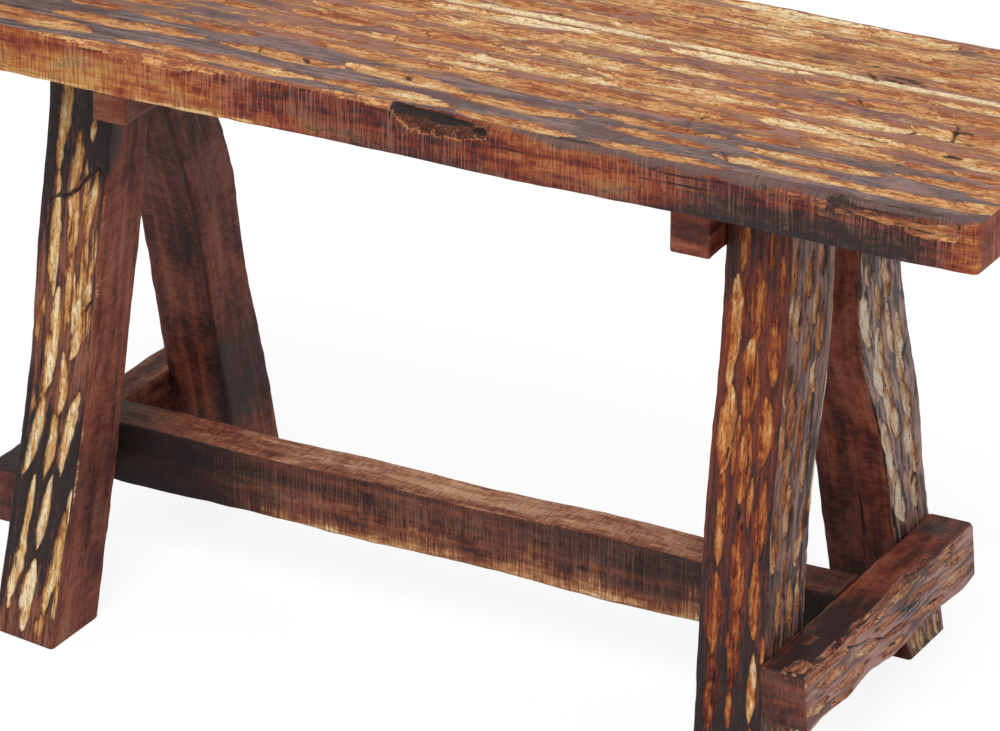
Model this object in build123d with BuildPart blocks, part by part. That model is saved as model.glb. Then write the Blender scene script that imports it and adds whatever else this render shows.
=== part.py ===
# Rustic log bench: a two-plank top on two splayed end frames, tied by one low stretcher.
# Millimetres. X runs along the bench, Y from its front to its back, Z up from the floor.
# The origin is on the floor under the middle of the bench.
import os
from math import radians, tan

from build123d import *

os.makedirs("parts", exist_ok=True)

# Top
seat_height = 450
top_thickness = 35
top_length = 877
front_plank_width = 184
back_plank_width = 96
top_forward = 2.5  # the middle of the top stands this far in front of the origin
corner_radius = 5
top_arris = 1.6
wane_slope = 38  # degrees, the worn bevel along the front arris
wane_reach = 9  # the bevel starts this far in front of the plank
front_waves = (1.5, -1, 1, 2, -0.5, 0.5, 1.5, -1, 1)
wane_dips = (3, 5, 1, 4, 6, 2.8, 5, 4.5, 1.5, 2.5, 5, 1, 4)

# End frames
leg_gap = 475  # between the legs of one end frame and those of the other
leg_thickness = 54
foot_reach = 165.5  # from the origin to the outer edge of the furthest foot, front and back
leg_arris = 3

# Bolsters, on the inner faces of the legs and tight under the top
bolster_height = 44
bolster_back = 102
bolster_waves = (1.5, -1, 2, 0.5, -1)

# Lower rails, on the outer faces of the legs
rail_top = 106
rail_height = 45
rail_arris = 3
end_rake = 8  # how far the lower corner of a rail end stands behind its upper corner
rail_waves = (2, -1.5, 1, 2.5, -2, 1, -1)

# Stretcher, between the two lower rails
stretcher_width = 36.5
stretcher_height = 46
stretcher_proud = 1.5  # above the tops of the lower rails
stretcher_y = -0.6
stretcher_arris = 2.5
stretcher_top_waves = (0.5, -0.8, 0.4, -1, 0.8, 1.4, -0.5)
stretcher_low_waves = (-0.6, 1, 0.2, -0.8, 1, -0.3, 0.8)
tenon_width = 16
tenon_height = 26
tenon_length = 15

# Joinery that stays inside the timber
peg_diameter = 10  # across the corners
peg_sides = 8
peg_in_leg = 30
peg_in_crossbar = 17
peg_spread = 10
peg_stagger = 7
dowel_diameter = 10
dowel_length = 60
dowel_count = 4
dowel_margin = 60  # from an end of the top to the first dowel
screw_diameter = 8
screw_length = 50
screw_head_across = 13
screw_head_height = 5.3
screw_back_inset = 22  # from the back end of a bolster to its back screw
washer_diameter = 20
washer_thickness = 1.6
counterbore_depth = 14
fit = 0.15  # radial clearance of a peg, dowel or screw, and of a tenon all round

underside = seat_height - top_thickness
inner_x = leg_gap / 2
outer_x = inner_x + leg_thickness
top_front = -top_forward - (front_plank_width + back_plank_width) / 2
seam_y = top_front + front_plank_width
top_back = seam_y + back_plank_width
rail_middle = rail_top - rail_height / 2
bolster_middle = underside - bolster_height / 2
stretcher_top = rail_top + stretcher_proud

# Each leg gives, on its face towards +X, the Y of its front edge at the top and its depth
# there, and how far its outer edge stands inside the foot reach and its depth at the foot.
# The waves are how far each natural edge stands out from the straight line between its ends,
# from the foot up at the front and from the top down at the back. The skew sets the front
# edge back on the face towards -X, at the top and at the foot.
legs = {
    "leg_front_right": {
        "side": 1,
        "stands": "front",
        "top_front": -97,
        "top_depth": 70,
        "foot_inset": 35,
        "foot_depth": 56,
        "front_waves": (1, 3, 3, -2, -4),
        "back_waves": (3.5, 4.5, -5, -4.5, -2),
        "top_skew": 13,
        "foot_skew": 7,
    },
    "leg_front_left": {
        "side": -1,
        "stands": "front",
        "top_front": -66,
        "top_depth": 52,
        "foot_inset": 0,
        "foot_depth": 59,
        "front_waves": (-5, -11, -14, -10, -10),
        "back_waves": (7.2, 10.8, 8, 8, 5),
        "top_skew": 3,
        "foot_skew": 8,
    },
    "leg_back_left": {
        "side": -1,
        "stands": "back",
        "top_front": -11,
        "top_depth": 59,
        "foot_inset": 16,
        "foot_depth": 54,
        "front_waves": (0, -2, -5, -4, 4),
        "back_waves": (-7, 4, 0, 2, 3.5),
        "top_skew": 5,
        "foot_skew": 7,
    },
    "leg_back_right": {
        "side": 1,
        "stands": "back",
        "top_front": 2,
        "top_depth": 46,
        "foot_inset": 0,
        "foot_depth": 57,
        "front_waves": (5, 7, 12, 26, 14),
        "back_waves": (-3, -5, 0, -4, -1.5),
        "top_skew": -4,
        "foot_skew": 0,
    },
}

# The two ends differ: the cross pieces on the left are thinner and start further back.
ends = {
    "right": {"side": 1, "bolster_thickness": 28.7, "bolster_front": 106.5,
              "rail_thickness": 34, "rail_front": 133, "rail_back": 129},
    "left": {"side": -1, "bolster_thickness": 26.5, "bolster_front": 92,
             "rail_thickness": 27.5, "rail_front": 120.5, "rail_back": 129},
}


def waney_edge(start, end, waves):
    # Evenly spaced points from start to end, each pushed to the left of that direction by
    # its wave. Outlines run clockwise, so a positive wave stands out of the piece.
    run = Vector(*end) - Vector(*start)
    outward = run.rotate(Axis.Z, 90).normalized()
    step = run * (1 / (len(waves) + 1))
    inner = [Vector(*start) + step * (i + 1) + outward * wave for i, wave in enumerate(waves)]
    return [Vector(*start), *inner, Vector(*end)]


def leg_edges(leg, on_left_face):
    # The points of a leg's front edge, foot to top, and of its back edge, top to foot.
    if leg["stands"] == "front":
        foot_front = leg["foot_inset"] - foot_reach
        foot_back = foot_front + leg["foot_depth"]
    else:
        foot_back = foot_reach - leg["foot_inset"]
        foot_front = foot_back - leg["foot_depth"]
    top_skew = leg["top_skew"] if on_left_face else 0
    foot_skew = leg["foot_skew"] if on_left_face else 0
    front_foot = (foot_front + foot_skew, 0)
    front_top = (leg["top_front"] + top_skew, underside)
    back_top = (leg["top_front"] + leg["top_depth"], underside)
    front = waney_edge(front_foot, front_top, leg["front_waves"])
    back = waney_edge(back_top, (foot_back, 0), leg["back_waves"])
    return front, back


def edge_y(points, height):
    # Where an edge stands at a height, taken straight between its points.
    ordered = sorted(points, key=lambda point: point.Y)
    for lower, upper in zip(ordered, ordered[1:]):
        if lower.Y <= height <= upper.Y:
            share = (height - lower.Y) / (upper.Y - lower.Y)
            return lower.X + share * (upper.X - lower.X)
    return ordered[-1].X


def leg_middle(leg, on_left_face, height):
    front, back = leg_edges(leg, on_left_face)
    return (edge_y(front, height) + edge_y(back, height)) / 2


def peg_pair(middle_y, middle_z):
    # Two pegs, one high and in front, one low and behind, which keep a leg from turning.
    return [(middle_y - peg_spread, middle_z + peg_stagger),
            (middle_y + peg_spread, middle_z - peg_stagger)]


def rail_pegs(side):
    # One peg where each leg of one end crosses the lower rail, on the outer faces.
    own = [leg for leg in legs.values() if leg["side"] == side]
    return [(leg_middle(leg, side < 0, rail_middle), rail_middle) for leg in own]


def bolster_pegs(side):
    # Peg centres where the two legs of one end cross the bolster, on the inner faces.
    own = [leg for leg in legs.values() if leg["side"] == side]
    return [place for leg in own
            for place in peg_pair(leg_middle(leg, side > 0, bolster_middle), bolster_middle)]


def screw_places(end):
    # One lag screw between the legs into the front plank, one near the back end.
    middle_x = end["side"] * (inner_x - end["bolster_thickness"] / 2)
    own = [leg for leg in legs.values() if leg["side"] == end["side"]]
    between_legs = sum(leg_middle(leg, end["side"] > 0, bolster_middle) for leg in own) / 2
    return [(middle_x, between_legs), (middle_x, bolster_back - screw_back_inset)]


all_screws = [place for end in ends.values() for place in screw_places(end)]
screw_seat = underside - bolster_height + counterbore_depth
screw_tip = screw_seat - washer_thickness + screw_length
dowel_pitch = (top_length - 2 * dowel_margin) / (dowel_count - 1)
dowel_height = underside + top_thickness / 2


# Legs: each is lofted between its two sawn faces, whose natural edges differ, so that both
# faces stay flat where the bolster and the lower rail bear on them.
for name, leg in legs.items():
    side = leg["side"]
    left_x, right_x = sorted((side * inner_x, side * outer_x))
    with BuildPart() as body:
        for face_x, on_left_face in ((left_x, True), (right_x, False)):
            front, back = leg_edges(leg, on_left_face)
            with BuildSketch(Plane.YZ.offset(face_x)):
                with BuildLine():
                    Spline(*front)
                    Line(front[-1], back[0])
                    Spline(*back)
                    Line(back[-1], front[0])
                make_face()
        loft()
        arrises = body.edges().filter_by(lambda edge: edge.length > underside - leg_thickness)
        chamfer(arrises, leg_arris)
        with BuildSketch(Plane.YZ.offset(side * outer_x)):
            with Locations((leg_middle(leg, side < 0, rail_middle), rail_middle)):
                Circle(peg_diameter / 2 + fit)
        extrude(amount=-side * (peg_in_leg + fit), mode=Mode.SUBTRACT)
        with BuildSketch(Plane.YZ.offset(side * inner_x)):
            with Locations(*peg_pair(leg_middle(leg, side > 0, bolster_middle), bolster_middle)):
                Circle(peg_diameter / 2 + fit)
        extrude(amount=side * (peg_in_leg + fit), mode=Mode.SUBTRACT)
    body.part.label = name
    export_step(body.part, f"parts/{name}.step")


# Lower rails: sawn faces, a natural lower edge, ends cut on the rake.
for end_name, end in ends.items():
    side = end["side"]
    rail_bottom = rail_top - rail_height
    with BuildPart() as rail:
        with BuildSketch(Plane.YZ.offset(side * outer_x)):
            with BuildLine():
                low_front = (end_rake - end["rail_front"], rail_bottom)
                low_back = (end_rake + end["rail_back"], rail_bottom)
                Polyline(low_front, (-end["rail_front"], rail_top), (end["rail_back"], rail_top),
                         low_back)
                Spline(*waney_edge(low_back, low_front, rail_waves))
            make_face()
        extrude(amount=side * end["rail_thickness"])
        outer_face = rail.faces().filter_by(Axis.X).sort_by(Axis.X)[-1 if side > 0 else 0]
        chamfer(outer_face.edges().filter_by(GeomType.LINE), rail_arris)
        with BuildSketch(Plane.YZ.offset(side * outer_x)):
            with Locations(*rail_pegs(side)):
                Circle(peg_diameter / 2 + fit)
        extrude(amount=side * (peg_in_crossbar + fit), mode=Mode.SUBTRACT)
        with BuildSketch(Plane.YZ.offset(side * outer_x)):
            with Locations((stretcher_y, stretcher_top - stretcher_height / 2)):
                Rectangle(tenon_width + 2 * fit, tenon_height + 2 * fit)
        extrude(amount=side * (tenon_length + fit), mode=Mode.SUBTRACT)
    rail.part.label = f"lower_rail_{end_name}"
    export_step(rail.part, f"parts/lower_rail_{end_name}.step")


# Bolsters: a natural lower edge, counterbored from below for the lag screws.
for end_name, end in ends.items():
    side = end["side"]
    thickness = end["bolster_thickness"]
    bolster_bottom = underside - bolster_height
    with BuildPart() as bolster:
        with BuildSketch(Plane.YZ.offset(side * inner_x)):
            with BuildLine():
                low_front = (-end["bolster_front"], bolster_bottom)
                low_back = (bolster_back, bolster_bottom)
                Polyline(low_front, (-end["bolster_front"], underside), (bolster_back, underside),
                         low_back)
                Spline(*waney_edge(low_back, low_front, bolster_waves))
            make_face()
        extrude(amount=-side * thickness)
        with BuildSketch(Plane.YZ.offset(side * inner_x)):
            with Locations(*bolster_pegs(side)):
                Circle(peg_diameter / 2 + fit)
        extrude(amount=-side * (peg_in_crossbar + fit), mode=Mode.SUBTRACT)
        with BuildSketch(Plane.XY.offset(screw_seat)):
            with Locations(*screw_places(end)):
                Circle(washer_diameter / 2 + fit)
        extrude(amount=-bolster_height, mode=Mode.SUBTRACT)
        with BuildSketch(Plane.XY.offset(screw_seat)):
            with Locations(*screw_places(end)):
                Circle(screw_diameter / 2 + fit)
        extrude(amount=bolster_height, mode=Mode.SUBTRACT)
    bolster.part.label = f"bolster_{end_name}"
    export_step(bolster.part, f"parts/bolster_{end_name}.step")


# Stretcher: one low timber with a stub tenon in each lower rail.
with BuildPart() as stretcher:
    with BuildSketch(Plane.XZ.offset(-stretcher_y)):
        with BuildLine():
            top_left = (-outer_x, stretcher_top)
            top_right = (outer_x, stretcher_top)
            low_right = (outer_x, stretcher_top - stretcher_height)
            low_left = (-outer_x, stretcher_top - stretcher_height)
            Spline(*waney_edge(top_left, top_right, stretcher_top_waves))
            Line(top_right, low_right)
            Spline(*waney_edge(low_right, low_left, stretcher_low_waves))
            Line(low_left, top_left)
        make_face()
    extrude(amount=stretcher_width / 2, both=True)
    chamfer(stretcher.edges().filter_by(GeomType.BSPLINE), stretcher_arris)
    with BuildSketch(Plane.YZ.offset(outer_x)):
        with Locations((stretcher_y, stretcher_top - stretcher_height / 2)):
            Rectangle(tenon_width, tenon_height)
    extrude(amount=tenon_length)
    with BuildSketch(Plane.YZ.offset(-outer_x)):
        with Locations((stretcher_y, stretcher_top - stretcher_height / 2)):
            Rectangle(tenon_width, tenon_height)
    extrude(amount=-tenon_length)
stretcher.part.label = "stretcher"
export_step(stretcher.part, "parts/stretcher.step")


# The bores that both planks share: dowels across the seam and pilots for the lag screws.
with BuildPart() as plank_bores:
    with BuildSketch(Plane.XZ.offset(-seam_y)):
        with Locations((0, dowel_height)):
            with GridLocations(dowel_pitch, 1, dowel_count, 1):
                Circle(dowel_diameter / 2 + fit)
    extrude(amount=dowel_length / 2 + fit, both=True)
    with BuildSketch(Plane.XY.offset(underside)):
        with Locations(*all_screws):
            Circle(screw_diameter / 2 + fit)
    extrude(amount=screw_tip - underside + fit)


# Front plank: a natural front edge with a worn bevel that dips and rises along its arris.
with BuildPart() as front_plank:
    with BuildSketch(Plane.XY.offset(underside)):
        with BuildLine():
            front_right = (top_length / 2, top_front)
            front_left = (-top_length / 2, top_front)
            Spline(*waney_edge(front_right, front_left, front_waves))
            Polyline(front_left, (-top_length / 2, seam_y), (top_length / 2, seam_y), front_right)
        make_face()
    extrude(amount=top_thickness)
    front_corners = front_plank.edges().filter_by(Axis.Z).group_by(Axis.Y)[0]
    fillet(front_corners, corner_radius)
    seam_edge = front_plank.edges().filter_by(Axis.X).group_by(Axis.Z)[-1]
    chamfer(seam_edge, top_arris)
    with BuildSketch(Plane.XZ.offset(wane_reach - top_front)) as wane:
        with BuildLine():
            drop = wane_reach * tan(radians(wane_slope))
            wane_span = top_length + 4 * corner_radius
            dips = [Vector((i / (len(wane_dips) - 1) - 0.5) * wane_span, seat_height - drop - dip)
                    for i, dip in enumerate(wane_dips)]
            Spline(*dips)
            Polyline(dips[-1], (wane_span / 2, seat_height + top_thickness),
                     (-wane_span / 2, seat_height + top_thickness), dips[0])
        make_face()
    slope = Vector(0, 1, 0).rotate(Axis.X, wane_slope)
    extrude(wane.sketch, amount=front_plank_width / 3, dir=slope, mode=Mode.SUBTRACT)
    add(plank_bores.part, mode=Mode.SUBTRACT)
front_plank.part.label = "top_plank_front"
export_step(front_plank.part, "parts/top_plank_front.step")


# Back plank
with BuildPart() as back_plank:
    with BuildSketch(Plane.XY.offset(underside)):
        with BuildLine():
            back_left = (-top_length / 2, top_back)
            back_right = (top_length / 2, top_back)
            Spline(*waney_edge(back_left, back_right, front_waves))
            Polyline(back_right, (top_length / 2, seam_y), (-top_length / 2, seam_y), back_left)
        make_face()
    extrude(amount=top_thickness)
    back_corners = back_plank.edges().filter_by(Axis.Z).group_by(Axis.Y)[-1]
    fillet(back_corners, corner_radius)
    chamfer(back_plank.faces().sort_by(Axis.Z)[-1].edges(), top_arris)
    add(plank_bores.part, mode=Mode.SUBTRACT)
back_plank.part.label = "top_plank_back"
export_step(back_plank.part, "parts/top_plank_back.step")


# Dowels across the seam of the top
with BuildPart() as dowels:
    with BuildSketch(Plane.XZ.offset(-seam_y)):
        with Locations((0, dowel_height)):
            with GridLocations(dowel_pitch, 1, dowel_count, 1):
                Circle(dowel_diameter / 2)
    extrude(amount=dowel_length / 2, both=True)
dowels.part.label = "edge_dowels"
export_step(dowels.part, "parts/edge_dowels.step")


# Riven eight-sided pegs that join the legs to the bolsters and to the lower rails
with BuildPart() as pegs:
    for side in (-1, 1):
        with BuildSketch(Plane.YZ.offset(side * (outer_x - peg_in_leg))):
            with Locations(*rail_pegs(side)):
                RegularPolygon(peg_diameter / 2, peg_sides)
        extrude(amount=side * (peg_in_leg + peg_in_crossbar))
        with BuildSketch(Plane.YZ.offset(side * (inner_x + peg_in_leg))):
            with Locations(*bolster_pegs(side)):
                RegularPolygon(peg_diameter / 2, peg_sides)
        extrude(amount=-side * (peg_in_leg + peg_in_crossbar))
pegs.part.label = "frame_pegs"
export_step(pegs.part, "parts/frame_pegs.step")


# Lag screws, up through the bolsters into the top
with BuildPart() as screws:
    with BuildSketch(Plane.XY.offset(screw_seat - washer_thickness)):
        with Locations(*all_screws):
            Circle(screw_diameter / 2)
    extrude(amount=screw_length)
    chamfer(screws.edges().group_by(Axis.Z)[-1], screw_diameter / 4)
    with BuildSketch(Plane.XY.offset(screw_seat - washer_thickness)):
        with Locations(*all_screws):
            RegularPolygon(screw_head_across / 2, 6, major_radius=False)
    extrude(amount=-screw_head_height)
screws.part.label = "lag_screws"
export_step(screws.part, "parts/lag_screws.step")


# Washers under the screw heads
with BuildPart() as washers:
    with BuildSketch(Plane.XY.offset(screw_seat)):
        with Locations(*all_screws):
            Circle(washer_diameter / 2)
        with Locations(*all_screws):
            Circle(screw_diameter / 2 + fit, mode=Mode.SUBTRACT)
    extrude(amount=-washer_thickness)
washers.part.label = "lag_washers"
export_step(washers.part, "parts/lag_washers.step")
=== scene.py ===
from math import radians
import bmesh
import bpy
import numpy as np
from mathutils import Matrix, Vector
from mathutils.bvhtree import BVHTree


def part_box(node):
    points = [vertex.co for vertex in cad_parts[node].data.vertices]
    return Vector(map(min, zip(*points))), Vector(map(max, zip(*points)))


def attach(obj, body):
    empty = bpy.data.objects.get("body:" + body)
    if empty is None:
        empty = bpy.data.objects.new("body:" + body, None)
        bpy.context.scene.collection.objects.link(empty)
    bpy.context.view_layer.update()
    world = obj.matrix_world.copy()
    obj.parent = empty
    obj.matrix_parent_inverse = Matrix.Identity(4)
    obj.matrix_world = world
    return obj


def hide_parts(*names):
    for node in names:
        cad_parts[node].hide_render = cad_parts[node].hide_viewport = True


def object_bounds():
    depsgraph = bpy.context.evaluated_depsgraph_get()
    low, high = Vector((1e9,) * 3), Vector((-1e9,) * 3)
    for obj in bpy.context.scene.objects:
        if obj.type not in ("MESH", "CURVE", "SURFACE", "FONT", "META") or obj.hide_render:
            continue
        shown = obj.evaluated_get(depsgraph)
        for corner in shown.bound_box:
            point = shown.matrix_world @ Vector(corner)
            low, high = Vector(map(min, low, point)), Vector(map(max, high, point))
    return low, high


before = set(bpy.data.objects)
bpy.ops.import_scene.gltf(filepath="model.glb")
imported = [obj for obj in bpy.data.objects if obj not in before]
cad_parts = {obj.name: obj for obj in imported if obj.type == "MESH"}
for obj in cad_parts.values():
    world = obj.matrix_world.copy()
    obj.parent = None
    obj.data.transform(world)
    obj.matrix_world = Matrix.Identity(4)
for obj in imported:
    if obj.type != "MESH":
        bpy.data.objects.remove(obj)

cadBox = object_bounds()
mm = 0.001
sides = ("far", "high", "near", "low")  # the four long faces, in the order they are walked
endPaint, tornPaint = 4, 5  # material numbers after the four faces': the sawn ends, and torn-out wood


def paint(hexCode):
    parts = [int(hexCode[i:i + 2], 16) / 255 for i in (1, 3, 5)]
    linear = [c / 12.92 if c <= 0.04045 else ((c + 0.055) / 1.055) ** 2.4 for c in parts]
    return (*linear, 1.0)


def addNode(tree, kind, inputs=None, stops=None, **settings):
    node = tree.nodes.new(kind)
    for key, value in settings.items():
        setattr(node, key, value)
    for n, (position, hexCode) in enumerate(stops or ()):
        ramp = node.color_ramp.elements  # it starts with two stops, the first and the last
        spot = ramp[0] if n == 0 else ramp[-1] if n == len(stops) - 1 else ramp.new(position)
        spot.position = position
        spot.color = paint(hexCode)
    for key, value in (inputs or {}).items():
        if isinstance(value, bpy.types.NodeSocket):
            tree.links.new(value, node.inputs[key])
        else:
            node.inputs[key].default_value = value
    return node


def freshTree(owner):  # an empty node tree on a material or a world
    owner.use_nodes = True
    owner.node_tree.nodes.clear()
    return owner.node_tree


def addObject(name, data):
    added = bpy.data.objects.new(name, data)
    bpy.context.scene.collection.objects.link(added)
    return added


def smooth(low, high, value):  # rises from 0 at low to 1 at high; where low is the larger, it falls
    part = np.clip((value - low) / (high - low), 0, 1)
    return part * part * (3 - 2 * part)


def drift(a, b, cellA, cellB, seed):
    # seeded smooth noise from 0 to 1, with the size of its patches in mm
    table = np.random.default_rng(int(seed * 10)).random((61, 67))
    x, y = a / cellA, b / cellB
    i, j = np.floor(x).astype(int), np.floor(y).astype(int)
    p, q = smooth(0, 1, x - i), smooth(0, 1, y - j)
    i, j, i2, j2 = i % 61, j % 67, (i + 1) % 61, (j + 1) % 67
    start = table[i, j] * (1 - p) + table[i2, j] * p
    end = table[i, j2] * (1 - p) + table[i2, j2] * p
    return start * (1 - q) + end * q


def onFace(skin, side):
    return skin["face"] == sides.index(side)


def darken(skin, where, amount):
    skin["char"][where] = np.maximum(skin["char"], amount)[where]


def blend(skin, level, **goals):
    # moves the finish towards the goals, as far as the level says
    for key, goal in goals.items():
        skin[key] += (goal - skin[key]) * level


def readTimber(log):
    # a skin of points laid over one solid: its two natural edges are read off by rays, in mm
    solid = bmesh.new()
    solid.from_mesh(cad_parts[log["node"]].data)
    tree = BVHTree.FromBMesh(solid)
    solid.free()
    run, width, depth = log["axes"]
    lo, hi = (np.array(corner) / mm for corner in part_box(log["node"]))
    first, last = log.get("span", (lo[run], hi[run]))
    ends = np.array(log.get("ends", (0, 0.35, 1.0, 2.0)))
    count = int((last - first - 2 * ends[-1]) / log["cell"]) + 1
    stations = np.concatenate([first + ends[:-1], np.linspace(first + ends[-1], last - ends[-1], count),
                               last - ends[-2::-1]])
    samples = np.array(log.get("samples", (0.1, 0.5, 0.9)))
    within, clear = 0.03, 50  # mm: rays keep inside the ends, and they start clear of the solid

    def reach(station, part, sign):
        start, aim = [0, 0, 0], [0, 0, 0]
        station = min(max(station, first + within), last - within)
        lean = log.get("rake", (0, 0)) if sign > 0 else (0, 0)
        start[run] = (station + lean[0] + (lean[1] - lean[0]) * (station - first) / (last - first)) * mm
        start[depth] = (lo[depth] + part * (hi[depth] - lo[depth])) * mm
        start[width] = (hi[width] + clear) * mm if sign > 0 else (lo[width] - clear) * mm
        aim[width] = -sign
        spot = tree.ray_cast(Vector(start), Vector(aim))[0]
        return spot[width] / mm if spot else np.nan

    edges = []
    for sign in (-1, 1):
        edge = np.array([[reach(s, part, sign) for part in samples] for s in stations])
        for k in range(len(samples)):
            good = ~np.isnan(edge[:, k])
            edge[:, k] = np.interp(stations, stations[good], edge[good, k])
        edges.append(edge)

    # once round the section: far face, high edge, near face, low edge
    spans = {"far": np.mean(edges[1] - edges[0]), "high": hi[depth] - lo[depth]}
    spans.update(near=spans["far"], low=spans["high"])
    counts = [max(2, int(spans[side] / log["cells"][k])) for k, side in enumerate(sides)]
    face = np.concatenate([np.full(n, k) for k, n in enumerate(counts)] + [[0]])
    part = np.concatenate([np.arange(n) / n for n in counts] + [[0]])
    acrossPart = np.choose(face, [part, 1, 1 - part, 0])
    throughPart = np.choose(face, [1, 1 - part, 0, part])
    acrossPart[-1], throughPart[-1] = 0, 1
    girth = np.concatenate([[0], np.cumsum(np.concatenate(
        [np.full(n, spans[side] / n) for side, n in zip(sides, counts)]))])

    k = np.clip(np.searchsorted(samples, throughPart) - 1, 0, len(samples) - 2)
    g = (throughPart - samples[k]) / (samples[k + 1] - samples[k])
    low, high = (edge[:, k] * (1 - g) + edge[:, k + 1] * g for edge in edges)
    across = low + acrossPart * (high - low)
    shape = across.shape
    skin = {"log": log, "face": np.broadcast_to(face, shape), "across": across, "low": low, "high": high,
            "through": np.broadcast_to(lo[depth] + throughPart * (hi[depth] - lo[depth]), shape),
            "s": np.broadcast_to(stations[:, None], shape), "stations": stations, "girth": girth,
            "bounds": (lo[depth], hi[depth]), "ends": (first, last), "part": (acrossPart, throughPart)}
    skin["a"] = np.where(skin["face"] % 2 == 0, skin["across"], skin["through"])
    skin["paint"] = np.array(skin["face"])
    # of the finish values, the one for char also holds painted shade: in cracks, round the rims of strokes,
    # under the torn arris and in its hole; the grey one is a painted grey sheen, the sky reflected off the
    # oiled wood
    for key in ("sunk", "cut", "tone", "char", "grey"):
        skin[key] = np.full(shape, 0.5 if key == "tone" else 0.0)
    return skin


def gouge(skin, side, cuts, deep, seed, broad=1.0, lift=0.0, outline=0.0):
    # spindle-shaped strokes of the adze: from s0 to s1 along the grain, the centre going a0 to a1
    for n, (s0, s1, a0, a1, wide, tone, *bow) in enumerate(cuts):
        wide, long = wide * broad, (s1 - s0) * 0.56  # a little longer than listed, as the tips fade out
        near = onFace(skin, side) & (np.abs(skin["s"] - (s0 + s1) / 2) < long)
        near &= np.abs(skin["a"] - (a0 + a1) / 2) < wide + abs(a1 - a0) + 6
        s, a = skin["s"][near], skin["a"][near]
        t = (s - (s0 + s1) / 2) / long
        centre = a0 + (a1 - a0) * (t * 1.12 + 1) / 2 + (bow[0] if bow else 0) * (1 - t * t)
        wobble = (drift(s, a, 16, 200, seed + n) - 0.5) * 0.22 * wide  # the outline wanders, and it is ragged
        wobble = wobble + (drift(s, a, 6, 4, seed + n) - 0.5) * 1.5
        half = np.maximum(wide / 2 * np.clip(1 - np.abs(t) ** 2.2, 0, 1) ** 0.8, 0.01)
        within = 1 - np.abs((a - centre + wobble) / half) ** 2
        level = np.clip(within, 0, 1)
        # painted shade: a dark ring round the rim of the stroke, as strong as outline says
        ring = outline * smooth(-1.1, -0.05, within) * (half > 1.2)
        skin["char"][near] = np.maximum(skin["char"][near], ring)
        skin["sunk"][near] = np.maximum(skin["sunk"][near], deep * min(1.25, wide / 11) * level ** 0.8)
        mask = smooth(0, 0.35, level)
        skin["tone"][near] = skin["tone"][near] * (1 - mask) + (tone + lift + 0.06 - 0.3 * (1 - level)) * mask
        skin["cut"][near] = np.maximum(skin["cut"][near], level)


def crack(skin, side, lines, deep=1.5, dark=1.0):
    # a split or a tear: a list of (s, a) points, then its width; it is sunk, and painted dark as the shade in
    # it
    reach = 4  # mm past the line that are looked at
    for *points, wide in lines:
        for (s0, a0), (s1, a1) in zip(points, points[1:]):
            near = onFace(skin, side) & (np.abs(skin["s"] - (s0 + s1) / 2) < abs(s1 - s0) / 2 + reach)
            near &= np.abs(skin["a"] - (a0 + a1) / 2) < abs(a1 - a0) / 2 + reach
            s, a = skin["s"][near], skin["a"][near]
            ds, da = s1 - s0, a1 - a0
            t = np.clip(((s - s0) * ds + (a - a0) * da) / (ds ** 2 + da ** 2), 0, 1)
            away = np.hypot(s - s0 - t * ds, a - a0 - t * da)
            level = np.clip(1.25 - away / wide, 0, 1)
            skin["sunk"][near] += deep * level
            # painted shade inside the split
            skin["char"][near] = np.maximum(skin["char"][near], dark * level)


def fray(skin, side, patches, cell=3.4, long=40, deep=0.6, seed=57):
    # fibres torn up without a clean stroke: (s0, s1, a0, a1, how much, tone); gives back where they are
    s, a = skin["s"], skin["a"]
    ragged = 1.6 * (drift(a, s, cell, long, seed) - 0.5)
    where = 0 * s
    for s0, s1, a0, a1, much, tone in patches:
        window = np.minimum(s - s0, s1 - s) / (s1 - s0)
        window = np.minimum(window, np.minimum(a - a0, a1 - a) / (a1 - a0)) * 5
        level = smooth(0.1, 0.7, np.clip(window, -1, 0.6) + ragged) * onFace(skin, side)
        skin["cut"] = np.maximum(skin["cut"], much * level)
        blend(skin, level, tone=tone)
        skin["char"] *= 1 - 0.9 * level
        skin["sunk"] += deep * level * (0.4 + drift(a, s, 2, 9, seed + 1))
        where = np.maximum(where, level)
    return where


def shade(skin, side, rows):
    # regional colour: rows across the face (0 to 1), each a list of (s, tone, darkness of char and painted
    # shade, painted grey sheen), 0 if left out
    on = onFace(skin, side)
    part = skin["part"][0 if side in ("far", "near") else 1]
    part = np.broadcast_to(part, on.shape)[on]
    s = skin["s"][on]
    places = sorted(rows)
    for n, key in enumerate(("tone", "char", "grey"), 1):
        values = [np.interp(s, [spot[0] for spot in rows[place]], [(*spot, 0, 0)[n] for spot in rows[place]])
                  for place in places]
        if len(places) == 1:
            skin[key][on] = values[0]
            continue
        k = np.clip(np.searchsorted(places, part) - 1, 0, len(places) - 2)
        g = np.clip((part - np.array(places)[k]) / np.diff(places)[k], 0, 1)
        stack = np.array(values)
        index = np.arange(len(s))
        skin[key][on] = stack[k, index] * (1 - g) + stack[k + 1, index] * g


def roughen(skin, deep, cellA, cellS, seed, torn=0.0):
    # the coarse surface of the timber, rougher where it was cut and torn
    girth = skin["girth"][None, :] + 0 * skin["s"]
    skin["sunk"] += deep * drift(girth, skin["s"], cellA, cellS, seed)
    skin["sunk"] += torn * skin["cut"] * (drift(girth, skin["s"], 3.2, 7, seed + 1) - 0.4)


def furrow(skin, on, seed, dark=0.65):
    # the narrow dark valleys between the ridges, where the bark side was cleaned
    valley = smooth(0.36, 0.16, drift(skin["a"], skin["s"], 4.4, 48, seed))
    skin["sunk"][on] += (0.6 * valley)[on]
    darken(skin, on, dark * valley)


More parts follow.
